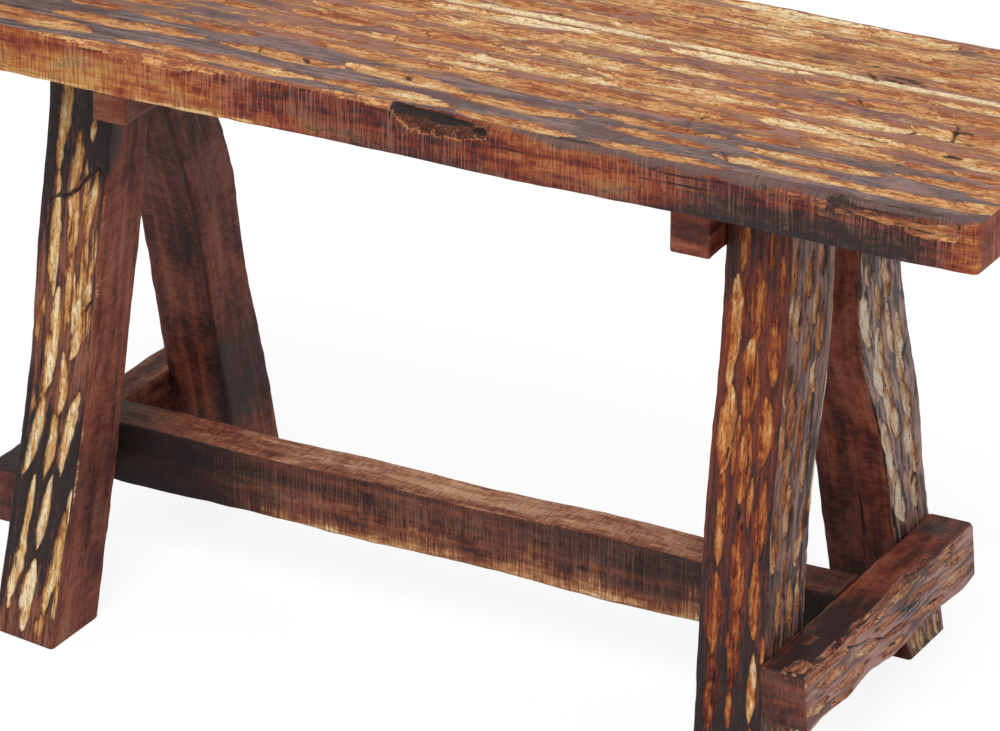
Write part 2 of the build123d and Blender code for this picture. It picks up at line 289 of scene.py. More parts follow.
def raiseTimber(skin, name, materials, extra=None):
    # the skin becomes a closed mesh: arrises rounded, relief sunk in, and both ends capped
    log = skin["log"]
    run, width, depth = log["axes"]
    rows, columns = skin["s"].shape
    first, last = skin["ends"]
    fromEnd = np.minimum(skin["s"] - first, last - skin["s"])
    endArris, fade, weld, sharp = 1.2, 5, 2e-6, 52  # mm, mm from an end, m and degrees
    arris = log["arris"] * (0.55 + 0.9 * drift(skin["s"], 40.0 * skin["face"], 17, 31, log["seed"]))
    arris = np.maximum(arris, 0.3)  # worn unevenly, but never quite sharp
    inset = endArris - np.sqrt(endArris ** 2 - np.clip(endArris - fromEnd, 0, endArris) ** 2)
    back, front = skin["bounds"]
    core = [np.clip(skin["across"], skin["low"] + arris, skin["high"] - arris),
            np.clip(skin["through"], back + arris, front - arris)]
    outward = [skin["across"] - core[0], skin["through"] - core[1]]
    long = np.hypot(*outward)
    push = arris - skin["sunk"] * smooth(0, fade, fromEnd) - inset
    place = np.zeros((rows, columns, 3))
    place[..., run] = skin["s"]
    place[..., width] = core[0] + outward[0] / long * push
    place[..., depth] = core[1] + outward[1] / long * push
    if "rake" in log:  # ends sawn at a slope: s grows or shrinks with the height
        height = (skin["across"] - skin["low"].min()) / (skin["high"].max() - skin["low"].min())
        t = (skin["s"] - first) / (last - first)
        start, end = log["rake"]
        place[..., run] += (1 - t) * start * height + t * end * height
    place[:, -1] = place[:, 0]
    place = np.clip(place, *np.array(cadBox) / mm)  # raised rims of strokes stay inside the solids' box

    bm = bmesh.new()
    uv = bm.loops.layers.uv.new("grain")
    finish = bm.verts.layers.float_color.new("finish")
    layers = np.stack([skin[key] for key in ("cut", "tone", "char", "grey")], -1)
    layers = np.clip(layers, 0, (1, 1.4, 1, 1))  # a tone past 1 stays cream whatever the grain does to it
    bmesh.ops.create_grid(bm, x_segments=columns - 1, y_segments=rows - 1, size=1, calc_uvs=True)
    bm.verts.index_update()
    spots = [(round((vert.co.y + 1) / 2 * (rows - 1)), round((vert.co.x + 1) / 2 * (columns - 1)))
             for vert in bm.verts]
    for face in bm.faces:
        face.material_index = int(skin["paint"][min(spots[vert.index] for vert in face.verts)])
        for loop in face.loops:
            j, i = spots[loop.vert.index]
            loop[uv].uv = (skin["girth"][i] * mm + log["seed"], skin["stations"][j] * mm + log["seed"])
    for vert in bm.verts:
        spot = spots[vert.index]
        vert.co = place[spot] * mm
        vert[finish] = layers[spot]
    bmesh.ops.remove_doubles(bm, verts=bm.verts, dist=weld)
    for face in bmesh.ops.holes_fill(bm, edges=[e for e in bm.edges if e.is_boundary], sides=0)["faces"]:
        face.material_index = endPaint
        for loop in face.loops:
            loop[uv].uv = (loop.vert.co[width] + log["seed"], loop.vert.co[depth] + log["seed"])
    if extra:
        extra(bm)
    bmesh.ops.recalc_face_normals(bm, faces=bm.faces)
    mesh = bpy.data.meshes.new(name)
    bm.to_mesh(mesh)
    bm.free()
    mesh.polygons.foreach_set("use_smooth", [True] * len(mesh.polygons))
    mesh.set_sharp_from_angle(angle=radians(sharp))
    for material in materials:
        mesh.materials.append(material)
    piece = addObject(name, mesh)
    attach(piece, "root")
    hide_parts(log["node"])
    print("timber", name, len(mesh.polygons), "faces")


def weaken(layers, names, factor):  # the same layers, some of them fainter
    return [(*layer[:5], layer[5] * (factor if layer[0] in names else 1.0), layer[6]) for layer in layers]


def timberFinish(name, look, palette):
    # one material from a look, which says how patterns in mm stir the finish, and a palette
    material = bpy.data.materials.new(name)
    tree = freshTree(material)
    bumpStrength, specular = 0.7, 0.32
    uv = addNode(tree, "ShaderNodeUVMap", uv_map="grain").outputs["UV"]
    finish = addNode(tree, "ShaderNodeAttribute", attribute_name="finish")
    split = addNode(tree, "ShaderNodeSeparateColor", {"Color": finish.outputs["Color"]})
    values = dict(look.get("even") or {"cut": split.outputs["Red"], "tone": split.outputs["Green"],
                                       "char": split.outputs["Blue"], "grey": finish.outputs["Alpha"]})
    for key, (acrossSize, alongSize, detail, bend) in look["patterns"].items():  # patch sizes in mm
        scaled = addNode(tree, "ShaderNodeVectorMath", {0: uv, 1: (1000 / acrossSize, 1000 / alongSize, 0)},
                         operation="MULTIPLY")
        values[key] = addNode(tree, "ShaderNodeTexNoise", {"Vector": scaled.outputs[0], "Scale": 1.0,
                              "Detail": detail, "Roughness": 0.6, "Distortion": bend},
                              noise_dimensions="2D").outputs[0]
    for key, (pattern, wide) in look["lines"].items():  # thin lines, where a pattern is at its middle
        level = addNode(tree, "ShaderNodeMath", {0: values[pattern], 1: 0.5}, operation="SUBTRACT")
        away = addNode(tree, "ShaderNodeMath", {0: level.outputs[0]}, operation="ABSOLUTE")
        values[key] = addNode(tree, "ShaderNodeMapRange", {"Value": away.outputs[0], "From Min": wide * 0.3,
                              "From Max": wide, "To Min": 1.0, "To Max": 0.0}).outputs[0]

    values["inside"] = addNode(tree, "ShaderNodeMapRange", {"Value": values["cut"], "From Min": 0.03,
                               "From Max": 0.3}).outputs[0]

    def gather(source, plus):  # a value with patterns stirred in, and how far they lift its middle
        value, torn = values[source], look.get("torn", 1.0) if source == "cut" else 1.0
        for pattern, amount in plus.items():
            value = addNode(tree, "ShaderNodeMath", {0: values[pattern], 1: amount * torn, 2: value},
                            operation="MULTIPLY_ADD").outputs[0]
        return value, sum(plus.values()) * torn / 2

    value, lift = gather("tone", look["light"])
    light = addNode(tree, "ShaderNodeMath", {0: value, 1: lift}, operation="SUBTRACT").outputs[0]
    tints = {}
    for key, tint in palette.items():
        tints[key] = paint(tint) if isinstance(tint, str) else addNode(
            tree, "ShaderNodeValToRGB", {"Fac": light}, stops=tint).outputs[0]
    colour = tints[look["base"]]
    for key, source, plus, low, high, strength, within in look["layers"]:
        value, lift = gather(source, plus)
        mask = addNode(tree, "ShaderNodeMapRange", {"Value": value, "From Min": low + lift,
                       "From Max": high + lift, "To Min": 0.0, "To Max": strength},
                       interpolation_type="SMOOTHSTEP").outputs[0]
        if within:
            mask = addNode(tree, "ShaderNodeMath", {0: mask, 1: values[within]},
                           operation="MULTIPLY").outputs[0]
        values[key + "Mask"] = mask
        colour = addNode(tree, "ShaderNodeMix", {"Factor": mask, 6: colour, 7: tints[key]},
                         data_type="RGBA").outputs[2]
    height = 0.0
    for pattern, amount in look["relief"].items():
        height = addNode(tree, "ShaderNodeMath", {0: values[pattern], 1: amount, 2: height},
                         operation="MULTIPLY_ADD").outputs[0]
    bump = addNode(tree, "ShaderNodeBump", {"Strength": bumpStrength, "Distance": look["reliefDepth"] * mm,
                   "Height": height})
    polish, dull = look["roughness"]
    rough = addNode(tree, "ShaderNodeMapRange", {"Value": values[look["dullWhere"]], "To Min": polish,
                    "To Max": dull})
    surface = addNode(tree, "ShaderNodeBsdfPrincipled", {"Base Color": colour, "Normal": bump.outputs[0],
                      "Roughness": rough.outputs[0], "Specular IOR Level": specular})
    addNode(tree, "ShaderNodeOutputMaterial", {"Surface": surface.outputs[0]})
    return material


# reclaimed hardwood, adze-hewn and oiled: pale torn fibres in the strokes, dark polished ridges between
# them. Fibres are 1.3 mm wide, coarser than real ones, so that they show. A pattern is (size across the
# grain, size along it, detail, bend), and a layer is (tint, what it follows, what stirs that, where it
# starts, where it is full, strength, the value it stays within).
hewn = {
    "patterns": {"fibre": (1.3, 17, 3.0, 0.0), "strand": (3.4, 80, 2.0, 0.15), "curl": (2.6, 7, 3.0, 1.2),
                 "blotch": (17, 55, 3.0, 0.4), "tears": (4.0, 13, 2.0, 0.8),
                 "hatch": (13, 2.6, 2.0, 0.3), "specks": (1.5, 4.2, 1.0, 0.0)},
    "lines": {"tearLine": ("tears", 0.02)},
    "light": {"fibre": 1.05, "curl": 0.9, "blotch": 1.3, "strand": 1.0},
    "base": "ridge",
    "layers": [
        # painted sheen: grey on the ridges, the sky reflected off their oil
        ("ridgeGrey", "grey", {"blotch": 1.4, "strand": 1.2}, 0.15, 0.85, 1.0, None),
        ("ridgeDark", "strand", {"fibre": 0.9, "blotch": 1.2, "hatch": -0.25}, 0.44, 0.64, 0.85, None),
        ("ridgeLight", "fibre", {"hatch": 0.35, "blotch": -0.8, "strand": -0.7}, 0.46, 0.66, 0.55, None),
        ("rim", "cut", {"strand": 1.0, "fibre": 1.1, "curl": 0.5}, 0.02, 0.26, 0.9, "inside"),
        ("fresh", "cut", {"strand": 1.0, "fibre": 1.3, "curl": 0.8}, 0.12, 0.6, 1.0, "inside"),
        ("tear", "curl", {"fibre": 0.6}, 0.44, 0.36, 0.55, "freshMask"),
        ("speck", "specks", {}, 0.65, 0.73, 0.7, "freshMask"),
        # charred wood, and painted shade in cracks and round the rims of strokes
        ("scorch", "char", {"fibre": 1.0, "strand": 1.1, "curl": 0.8}, 0.3, 0.75, 0.94, None)],
    "relief": {"fibre": 0.5, "curl": 0.6, "strand": 0.3, "tearLine": -0.4, "specks": -0.3},
    "reliefDepth": 1.2, "roughness": (0.45, 0.66), "dullWhere": "freshMask"}
# on the legs the adze cut cleaner, so the strokes keep their outline
hewnClean = dict(hewn, torn=0.8, light={"fibre": 1.0, "curl": 0.5, "blotch": 1.5, "strand": 1.1},
                 patterns=dict(hewn["patterns"], hatch=(2.6, 38, 2.0, 0.4), blotch=(10, 26, 3.0, 0.5)),
                 layers=weaken(hewn["layers"], ("tear", "speck"), 0.55))
# a pocket where the wood was torn out: a lace of fibres over a dark hollow
tornOut = {
    "patterns": {"curl": (3.4, 4.4, 2.0, 0.9), "fibre": (1.0, 6, 2.0, 0.5), "blotch": (8, 14, 2.0, 0.4)},
    "lines": {"lace": ("curl", 0.05)},
    "light": {"blotch": 1.2, "fibre": 1.2},
    "base": "wood",
    "layers": [("fresh", "lace", {"blotch": 0.9}, 0.25, 0.75, 0.9, None),
               # painted shade: the shadow of the arris and the shade in the hole
               ("scorch", "char", {"fibre": 0.8, "blotch": 0.6}, 0.25, 0.7, 0.96, None)],
    "relief": {"lace": 0.9, "fibre": 0.3},
    "reliefDepth": 0.8, "roughness": (0.6, 0.72), "dullWhere": "freshMask"}
# the same hardwood off the band saw, oiled: short broken kerf lines across the grain, scorched in places;
# the kerf lines are 1.5 mm apart, coarser than a real blade leaves them, so that they show
sawn = {
    "patterns": {"kerf": (15, 1.5, 3.0, 0.2), "kerfFine": (7, 0.8, 1.0, 0.0), "ticks": (70, 1.2, 2.0, 0.0),
                 "grain": (2.2, 60, 3.0, 0.3), "streak": (13, 220, 2.0, 0.6), "blotch": (24, 44, 3.0, 0.4),
                 "mottle": (4.5, 8, 4.0, 0.5), "smear": (4.0, 24, 2.0, 0.6)},
    "lines": {"grainLine": ("streak", 0.012)},
    "light": {"kerf": 0.6, "kerfFine": 0.35, "grain": 0.3, "mottle": 0.4, "smear": 0.7, "blotch": 0.9,
              "streak": 0.7},
    "base": "wood",
    "layers": [
        # painted sheen: a grey cast, the sky reflected off the oiled face
        ("grey", "grey", {"blotch": 1.2, "mottle": 0.8}, 0.1, 0.9, 0.8, None),
        ("line", "blotch", {}, 0.35, 0.55, 0.45, "grainLine"),
        ("pale", "ticks", {"blotch": 0.5, "kerf": 0.4, "tone": -0.4}, 0.56, 0.7, 0.28, None),
        # charred wood, and painted shade in cracks
        ("scorch", "char", {"kerf": 0.8, "mottle": 0.8, "smear": 0.8, "blotch": 0.9}, 0.2, 0.85, 0.95, None),
        ("dark", "ticks", {"blotch": -0.8, "kerf": 0.4}, 0.4, 0.26, 0.32, None),
        ("fresh", "cut", {"ticks": 1.6, "kerf": 0.8, "mottle": 0.6}, 0.2, 0.6, 0.95, "inside")],
    "relief": {"kerf": 0.6, "kerfFine": 0.3, "mottle": 0.4},
    "reliefDepth": 0.6, "roughness": (0.6, 0.5), "dullWhere": "scorchMask"}
# on the legs the saw ran truer, so only faint broken lines are left
sawnSmooth = dict(sawn, patterns=dict(sawn["patterns"], ticks=(13, 1.8, 2.0, 0.2), kerf=(22, 2.6, 3.0, 0.25)),
                  light={"kerf": 0.3, "grain": 0.25, "mottle": 0.5, "blotch": 1.0, "streak": 0.8},
                  layers=weaken(sawn["layers"], ("pale", "dark"), 0.5))
# a sawn end, even all over: darker than the faces, because it drinks more of the oil
sawnEnd = dict(sawnSmooth, even={"cut": 0.0, "tone": 0.58, "char": 0.1, "grey": 0.0})


def stops(*hexCodes):  # a ramp from the deepest to the palest fibre
    return list(zip((0.0, 0.22, 0.45, 0.7, 0.88, 1.0), hexCodes))


# the slab: straw-coloured strokes between mauve-brown ridges, with a painted blue-grey sheen along the front
slabHewn = timberFinish("hardwoodSlabHewn", hewn, {
    "fresh": [(0.0, "#84402A"), (0.2, "#AA6038"), (0.42, "#CA8852"), (0.62, "#DEA46A"), (0.82, "#EAB87C"),
              (0.93, "#F2CE98"), (1.0, "#FBE3B6")],
    "ridge": "#A86C58", "ridgeGrey": "#6A605E", "ridgeDark": "#704A46", "ridgeLight": "#B4887C",
    "rim": "#90543A", "tear": "#9A5A34", "speck": "#6E3A22", "scorch": "#34221E"})
# its sawn edge: honey to oxblood, with fine upright saw lines
slabSawn = timberFinish("hardwoodEdgeBandSawn", sawn, {
    "wood": [(0.0, "#2A1614"), (0.18, "#5C2018"), (0.38, "#82341E"), (0.6, "#A2582E"), (0.8, "#BA783C"),
             (1.0, "#D09C58")],
    "fresh": [(0.0, "#74402A"), (0.5, "#B8784A"), (1.0, "#E4BC84")],
    "grey": "#585052", "line": "#44201A", "scorch": "#231C1C", "pale": "#C09078", "dark": "#3A1E18"})
# a place where the edge broke out: a tangle of matt fibres over near black; its darkest tint is the painted
# shadow of the arris and the painted shade in its hole
slabTorn = timberFinish("hardwoodTornFibre", tornOut, {
    "wood": [(0.0, "#2A1A18"), (0.5, "#4C261C"), (1.0, "#723C26")],
    "fresh": [(0.0, "#7A4026"), (0.5, "#A86842"), (1.0, "#CC946C")], "scorch": "#261C1B"})
# hewn legs: cream strokes over near black on the left one, rust and amber on the right one
leftLegHewn = timberFinish("hardwoodLegHewnCream", hewnClean, {
    "fresh": stops("#62301E", "#985A32", "#C48A4C", "#DCAE70", "#ECCC98", "#F8E2BC"),
    "ridge": "#743F2E", "ridgeGrey": "#4A3C38", "ridgeDark": "#44241E", "ridgeLight": "#9A6248",
    "rim": "#5E3224", "tear": "#4A2418", "speck": "#3E2016", "scorch": "#1E1618"})
rightLegHewn = timberFinish("hardwoodLegHewnRust", hewnClean, {
    "fresh": stops("#4E1C12", "#8C3E1E", "#B4662E", "#CC8A4C", "#DFAC74", "#F0CFA0"),
    "ridge": "#682B1F", "ridgeGrey": "#4A3836", "ridgeDark": "#4A2018", "ridgeLight": "#8A4228",
    "rim": "#7C341C", "tear": "#4A2014", "speck": "#3A1810", "scorch": "#241A1A"})
# the cleaned bark side: mauve ridges with a painted silvery sheen, and pale bare wood between them
paleBarkHewn = timberFinish("hardwoodBarkRidgesPale", hewnClean, {
    "fresh": stops("#5A2A1C", "#92502E", "#BC7C48", "#CCA076", "#DEC2A0", "#ECDAC0"),
    "ridge": "#946454", "ridgeGrey": "#66606A", "ridgeDark": "#46302C", "ridgeLight": "#CCAA9A",
    "rim": "#3E2220", "tear": "#3A201C", "speck": "#4A2820", "scorch": "#281E20"})
# the same, browner and duller
barkHewn = timberFinish("hardwoodBarkRidges", hewnClean, {
    "fresh": stops("#54261A", "#8C4828", "#B4703C", "#C69264", "#D8B48C", "#E8D0B0"),
    "ridge": "#885A48", "ridgeGrey": "#585058", "ridgeDark": "#4E3430", "ridgeLight": "#A47C6A",
    "rim": "#442420", "tear": "#3A201C", "speck": "#4A2820", "scorch": "#281E20"})
# the rails' hewn side: pinkish brown, with long torn fibres
railHewn = timberFinish("hardwoodRailHewn", dict(hewn, torn=0.95), {
    "fresh": stops("#5E2E20", "#8E5032", "#B67250", "#C88E6A", "#DAB08C", "#EACCA4"),
    "ridge": "#9E6E62", "ridgeGrey": "#524A52", "ridgeDark": "#6C443C", "ridgeLight": "#CC9E90",
    "rim": "#5E3022", "tear": "#4A241C", "speck": "#4A2820", "scorch": "#282023"})
# sawn faces of the legs: even red-brown, almost without saw lines
legSawn = timberFinish("hardwoodLegBandSawn", sawnSmooth, {
    "wood": [(0.0, "#2A1412"), (0.25, "#56241A"), (0.5, "#88442E"), (0.75, "#A2624A"), (1.0, "#BE8A66")],
    "fresh": [(0.0, "#7A4630"), (0.5, "#B8886A"), (1.0, "#E2C2A0")],
    "grey": "#5A4442", "line": "#38201A", "scorch": "#2C2020", "pale": "#9E6A54", "dark": "#3E2018"})
# sawn faces of the stretcher and the rails: dull brown, paler where they were rubbed
railSawn = timberFinish("hardwoodRailBandSawn", sawn, {
    "wood": [(0.0, "#221414"), (0.25, "#4E261C"), (0.5, "#7E442E"), (0.75, "#AC7656"), (1.0, "#D4A682")],
    "fresh": [(0.0, "#5E3222"), (0.45, "#8C5638"), (0.75, "#C0885A"), (1.0, "#ECCF98")],
    "grey": "#4C3C3A", "line": "#3A201A", "scorch": "#1E1618", "pale": "#A8765C", "dark": "#2E1A18"})
endPalette = {
    "wood": [(0.0, "#2E1A16"), (0.3, "#5E2A1E"), (0.6, "#944A32"), (0.8, "#A86648"), (1.0, "#B8845E")],
    "fresh": [(0.0, "#7A4A2C"), (1.0, "#C89A68")],
    "grey": "#4C3C3A", "line": "#3A201A", "scorch": "#2A2020", "pale": "#9A6C50", "dark": "#42261E"}
# sawn end grain: flat and warm on the slab, darker on legs and rails, and greyer there with a painted sheen
slabEnd = timberFinish("hardwoodEndGrainSawn", sawnEnd, endPalette)
oiledEnd = dict(sawnEnd, even={"cut": 0.0, "tone": 0.25, "char": 0.15, "grey": 0.25})
endGrain = timberFinish("hardwoodEndGrainOiled", oiledEnd, endPalette)
print("materials ready")


def scatter(limits, rows, seed, keep=None, length=(80, 130), wide=(10, 15), tone=(0.4, 0.75)):
    # staggered strokes in rows along the grain, as an adze leaves them; keep() says where they are wanted
    rng = np.random.default_rng(seed)
    stray, slant, curve = 1.16, 2.0, 1.2  # mm by which a stroke leaves its row, leans and bows
    cuts = []
    (s0, s1), (a0, a1) = limits
    for row in range(rows):
        a = a0 + (row + 0.5) * (a1 - a0) / rows
        s = s0 - rng.uniform(0, length[1])
        while s < s1:
            long = rng.uniform(*length)
            middle = a + rng.normal(0, stray)
            slope = rng.normal(0, slant)
            if keep is None or keep(s + long / 2, middle):
                cuts.append((s, s + long, middle - slope, middle + slope, rng.uniform(*wide),
                             rng.uniform(*tone), rng.normal(0, curve)))
            s += long * rng.uniform(0.95, 1.1)
    return cuts


# the front plank of the seat. Places are in mm, s along the grain and a across it. A stroke is (s0, s1, a0,
# a1, width, tone, bow); a crack is its points (s, a), then its width; a frayed patch is (s0, s1, a0, a1, how
# much, tone); rows lie from 0 to 1 across a face, and each is a list of (s, tone, darkness of char and
# painted shade, painted grey sheen).
frontPlank = {
    "node": "top_plank_front", "slot": "hewn_top", "axes": (0, 1, 2), "cell": 1.9,
    "cells": (1.55, 4.0, 7.0, 1.2), "arris": 1.5, "samples": (0.06, 0.3, 0.55, 0.75, 0.84, 0.9, 0.97),
    "ends": (0, 0.25, 0.7, 1.4, 2.4, 3.8, 5.5, 7.5), "seed": 1.3,
    "strokes": [(-300, -218, -119, -124, 18, 0.62), (-188, -44, -127, -127, 15, 0.68),
        (-35, 60, -125, -126, 15, 0.6), (70, 154, -132, -134, 12, 0.66), (165, 262, -134, -135, 10, 0.6),
        (248, 345, -119, -122, 14, 0.62), (338, 440, -124, -123, 12, 0.66),
        (-258, -185, -102, -102, 13, 0.55), (-207, -143, -98, -98, 11, 0.6), (-128, -35, -98, -101, 13, 0.66),
        (-35, 52, -93, -101, 17, 0.72), (48, 142, -105, -106, 14, 0.5), (167, 240, -110, -110, 10, 0.6),
        (257, 352, -99, -101, 13, 0.6), (360, 438, -92, -94, 9, 0.45), (-260, -222, -77, -79, 10, 0.42),
        (-205, -165, -78, -79, 8, 0.5), (-172, -114, -77, -77, 11, 0.46), (-74, 30, -71, -71, 12, 0.62),
        (28, 127, -68, -77, 17, 0.55), (140, 238, -92, -91, 10, 0.42), (243, 287, -81, -81, 8, 0.45),
        (281, 352, -68, -72, 16, 0.6), (354, 392, -74, -75, 8, 0.4), (-131, -45, -57, -55, 8, 0.5),
        (-20, 60, -55, -57, 9, 0.7), (92, 252, -61, -64, 17, 0.5), (248, 347, -51, -49, 17, 0.86, 1.5),
        (343, 416, -47, -56, 13, 0.7), (-60, 22, -38, -39, 10, 0.66), (18, 133, -40, -43, 15, 0.78),
        (138, 252, -38, -40, 15, 0.62), (-172, -138, -33, -34, 8, 0.55), (-116, -58, -24, -23, 15, 0.4),
        (-42, 62, -20, -20, 14, 0.55), (50, 150, -7, -11, 15, 0.7, -1), (112, 247, -26, -25, 14, 0.72),
        (246, 344, -23, -23, 17, 0.76), (338, 440, -18, -17, 19, 0.66), (-112, -38, -4, -4, 13, 0.68),
        (-40, 64, 8, 8, 15, 0.74), (128, 219, 4, 4, 11, 0.74), (204, 283, -8, -9, 8, 0.5),
        (277, 392, 7, 12, 16, 0.62), (-82, -37, 17, 21, 12, 0.72), (54, 150, 19, 23, 15, 0.78),
        (214, 273, 18, 19, 9, 0.5), (244, 330, 25, 27, 13, 0.58), (-42, 76, 35, 36, 17, 1.02),
        (140, 238, 36, 39, 16, 1.0)],
    "cracks": [[(-103, -92), (-101, -97), (-98, -103), 1.3], [(-67, -95), (-62, -99), 2.0],
        [(8, -91), (11, -94), 2.4], [(-34, -33), (-32, -42), 1.1], [(31, -23), (35, -25), 3.4],
        [(29, -13), (40, -17), 1.0], [(-20, -15), (-15, -24), 1.0], [(361, -1), (363, -12), (366, -24), 1.6],
        [(357, -26), (380, -22), 2.0], [(361, -10), (374, -8), 1.3],
        [(209, -57), (208, -66), (206, -75), (209, -84), (212, -91), 1.1],
        [(209, -58), (217, -60), (226, -62), 1.3], [(138, -58), (165, -59), 1.1],
        [(212, -90), (232, -85), 1.0], [(150, -66), (170, -71), (196, -70), 1.0],
        [(248, -112), (258, -122), 1.6], [(283, 13), (296, 3), 1.2], [(246, -22), (256, -29), 1.0],
        [(256, -11), (267, -10), 1.8], [(298, -41), (312, -44), (330, -44), 1.0],
        [(372, -47), (382, -46), 2.2], [(328, -26), (342, -20), (356, -24), 1.0], [(12, -54), (15, -59), 1.0],
        [(61, -103), (64, -110), 1.0], [(-12, 10), (-9, 2), 0.9], [(163, 38), (164, 28), 1.1],
        [(200, -12), (212, -15), 1.0], [(278, -58), (283, -59), 1.5], [(130, -78), (160, -84), 1.0],
        [(40, -78), (62, -84), 1.0], [(90, -80), (118, -78), 1.1], [(354, -79), (360, -73), 1.5]],
    "frayed": [(372, 428, 433, 443.5, 0.9, 0.22), (340, 384, 439, 444, 0.9, 0.16),
        (308, 336, 440, 444.5, 0.8, 0.14)],
    "frayedFoot": [(-345, -80, 413.5, 418.2, 0.8, 0.85)],
    "bevel": {
        "until": 22, "above": 432, "proud": 0.6,
        "finish": {"cut": 0.5, "tone": 0.32, "grey": 0.15, "char": 0.05}},
    "rolled": {"from": 95, "until": 436, "finish": {"tone": 0.62, "grey": 1.0, "char": 0.2}},
    "pocket": {"s": 60, "z": 433.5, "halfLength": 37, "deep": 2.2, "holeDeep": 2.4},
    "edgeCracks": [[(100, 435.5), (180, 435), (260, 434), 0.5],
        [(335, 439), (352, 440), (372, 437), (404, 432), 1.0], [(336, 440), (338, 447), 1.0],
        [(345, 446), (368, 445), (396, 446), 1.1], [(424, 436), (426, 447), 1.0],
        [(212, 441), (240, 440), (268, 442), 1.0], [(330, 433), (380, 432), 0.5]],
    "rows": {
        "near": {0.0: [(-438, 0.5, 0.05), (438, 0.45, 0.25, 0.1)], 1.0: [(-438, 0.5, 0.1), (438, 0.4, 0.1)]},
        "high": {0.0: [(-438, 0.6), (438, 0.6)]},
        "low": {
            0.0: [(-438, 0.82), (-200, 0.9), (-120, 0.62, 0.05), (-60, 0.38, 0.2, 0.1), (0, 0.2, 0.45, 0.2),
                (60, 0.22, 0.5, 0.2), (120, 0.4, 0.28, 0.2), (180, 0.42, 0.3, 0.1), (215, 0.3, 0.55, 0.2),
                (250, 0.1, 0.8, 0.4), (330, 0.1, 0.85, 0.4), (395, 0.15, 0.68, 0.2), (424, 0.5, 0.2),
                (438, 0.68)],
            0.42: [(-438, 0.72), (-200, 0.72), (-120, 0.5, 0.05), (-60, 0.32, 0.15), (0, 0.28, 0.22),
                (60, 0.25, 0.28), (120, 0.48, 0.05), (180, 0.42, 0.1), (230, 0.34, 0.3, 0.1),
                (260, 0.2, 0.6, 0.2), (330, 0.16, 0.6, 0.1), (395, 0.14, 0.64), (424, 0.42, 0.2), (430, 0.6),
                (438, 0.62)],
            0.6: [(-438, 0.58, 0.05), (-300, 0.64, 0.02), (-200, 0.54, 0.06), (-120, 0.4, 0.12),
                (-60, 0.32, 0.18), (0, 0.3, 0.2), (60, 0.26, 0.26), (120, 0.52), (180, 0.48, 0.05),
                (230, 0.42, 0.15), (260, 0.3, 0.4, 0.1), (300, 0.42, 0.24), (340, 0.32, 0.34),
                (390, 0.24, 0.42), (420, 0.42, 0.15), (428, 0.6), (438, 0.62)],
            1.0: [(-438, 0.66), (-330, 0.68), (-240, 0.62), (-120, 0.4, 0.08), (-60, 0.32, 0.2),
                (0, 0.3, 0.25), (20, 0.3, 0.3), (60, 0.25, 0.5), (110, 0.5, 0.1), (180, 0.46, 0.15),
                (210, 0.3, 0.5, 0.3), (260, 0.3, 0.55, 0.2), (330, 0.25, 0.5, 0.1), (345, 0.3, 0.6),
                (395, 0.4, 0.5), (415, 0.5, 0.4), (427, 0.62, 0.1), (438, 0.62, 0.1)]}}}


def unseen(s, a):  # outside the part of the seat that the listed strokes cover
    return s < -300 or a > -20 + 0.555 * (s + 150) + 4 or s > 330 + (137 - a) * 0.449


skin = readTimber(frontPlank)
filling = scatter(((-438, 438), (-140, 40)), rows=12, seed=5, keep=unseen)
gouge(skin, "far", filling, deep=1.6, seed=40, broad=1.3, lift=-0.08)
gouge(skin, "far", frontPlank["strokes"], deep=1.7, seed=3, broad=1.34, lift=-0.08)
top, front = onFace(skin, "far"), onFace(skin, "low")
s, a, z = skin["s"], skin["a"], skin["through"]
rest = 0.5 * drift(a, s, 6, 75, 61) * smooth(-100, -60, a)  # thin bare fibres between the strokes
skin["cut"][top] = np.maximum(skin["cut"], rest)[top]
# painted sheen: the ridges greyer towards the front and the left end, the sky reflected in their oil
sheenFront, sheenLeft = 0.8 * smooth(-55, -95, a), 0.7 * smooth(-90, -200, s)
skin["grey"][top] = (sheenFront + sheenLeft + 0.35 * drift(a, s, 22, 80, 8) - 0.1)[top]
darken(skin, top, 0.75 * smooth(30, 60, s) * smooth(-136, -141, a) * drift(a, s, 50, 40, 9))
darken(skin, top, 0.45 * smooth(-90, -260, s) * (1 - skin["cut"]))
skin["tone"][top] -= 0.1 * smooth(80, -120, s)[top]
darken(skin, top, 0.7 * smooth(39.4, 41.2, a) * smooth(150, 330, s))  # the gap beside the pale arris
crack(skin, "far", frontPlank["cracks"], deep=1.4, dark=0.8)
for side, rows in frontPlank["rows"].items():
    shade(skin, side, rows)
# left of the middle the worn bevel under the front arris is finished like the top
worn = frontPlank["bevel"]
middle = int(np.argmin(np.abs(z[0] - worn["above"]) + 99 * ~front[0]))
bevel = front & (z > worn["above"]) & (skin["across"] > skin["across"][:, middle:middle + 1] + worn["proud"])
bevel &= s < worn["until"]
for key, value in worn["finish"].items():
    skin[key][bevel] = (value * (0.7 + 0.6 * drift(z, s, 9, 26, 71)))[bevel]
# further right the worn arris is rolled over: even, with the same painted grey sheen as the ridges above it
rolled = frontPlank["rolled"]
level = front * smooth(rolled["from"], rolled["from"] + 30, s)
level *= smooth(rolled["until"], rolled["until"] - 10, s)
level *= smooth(444, 448.5, z + 5 * (drift(z, s, 5, 15, 75) - 0.5) + 3 * smooth(52, 34, np.abs(s - 244)))
blend(skin, level, **rolled["finish"])
fray(skin, "low", frontPlank["frayedFoot"], cell=1.6, long=12, deep=0.4)
rough = fray(skin, "low", frontPlank["frayed"], cell=1.8, long=16, deep=0.9, seed=58) > 0.3
skin["char"][rough] = (0.7 * drift(z, s, 2.2, 7, 79))[rough]
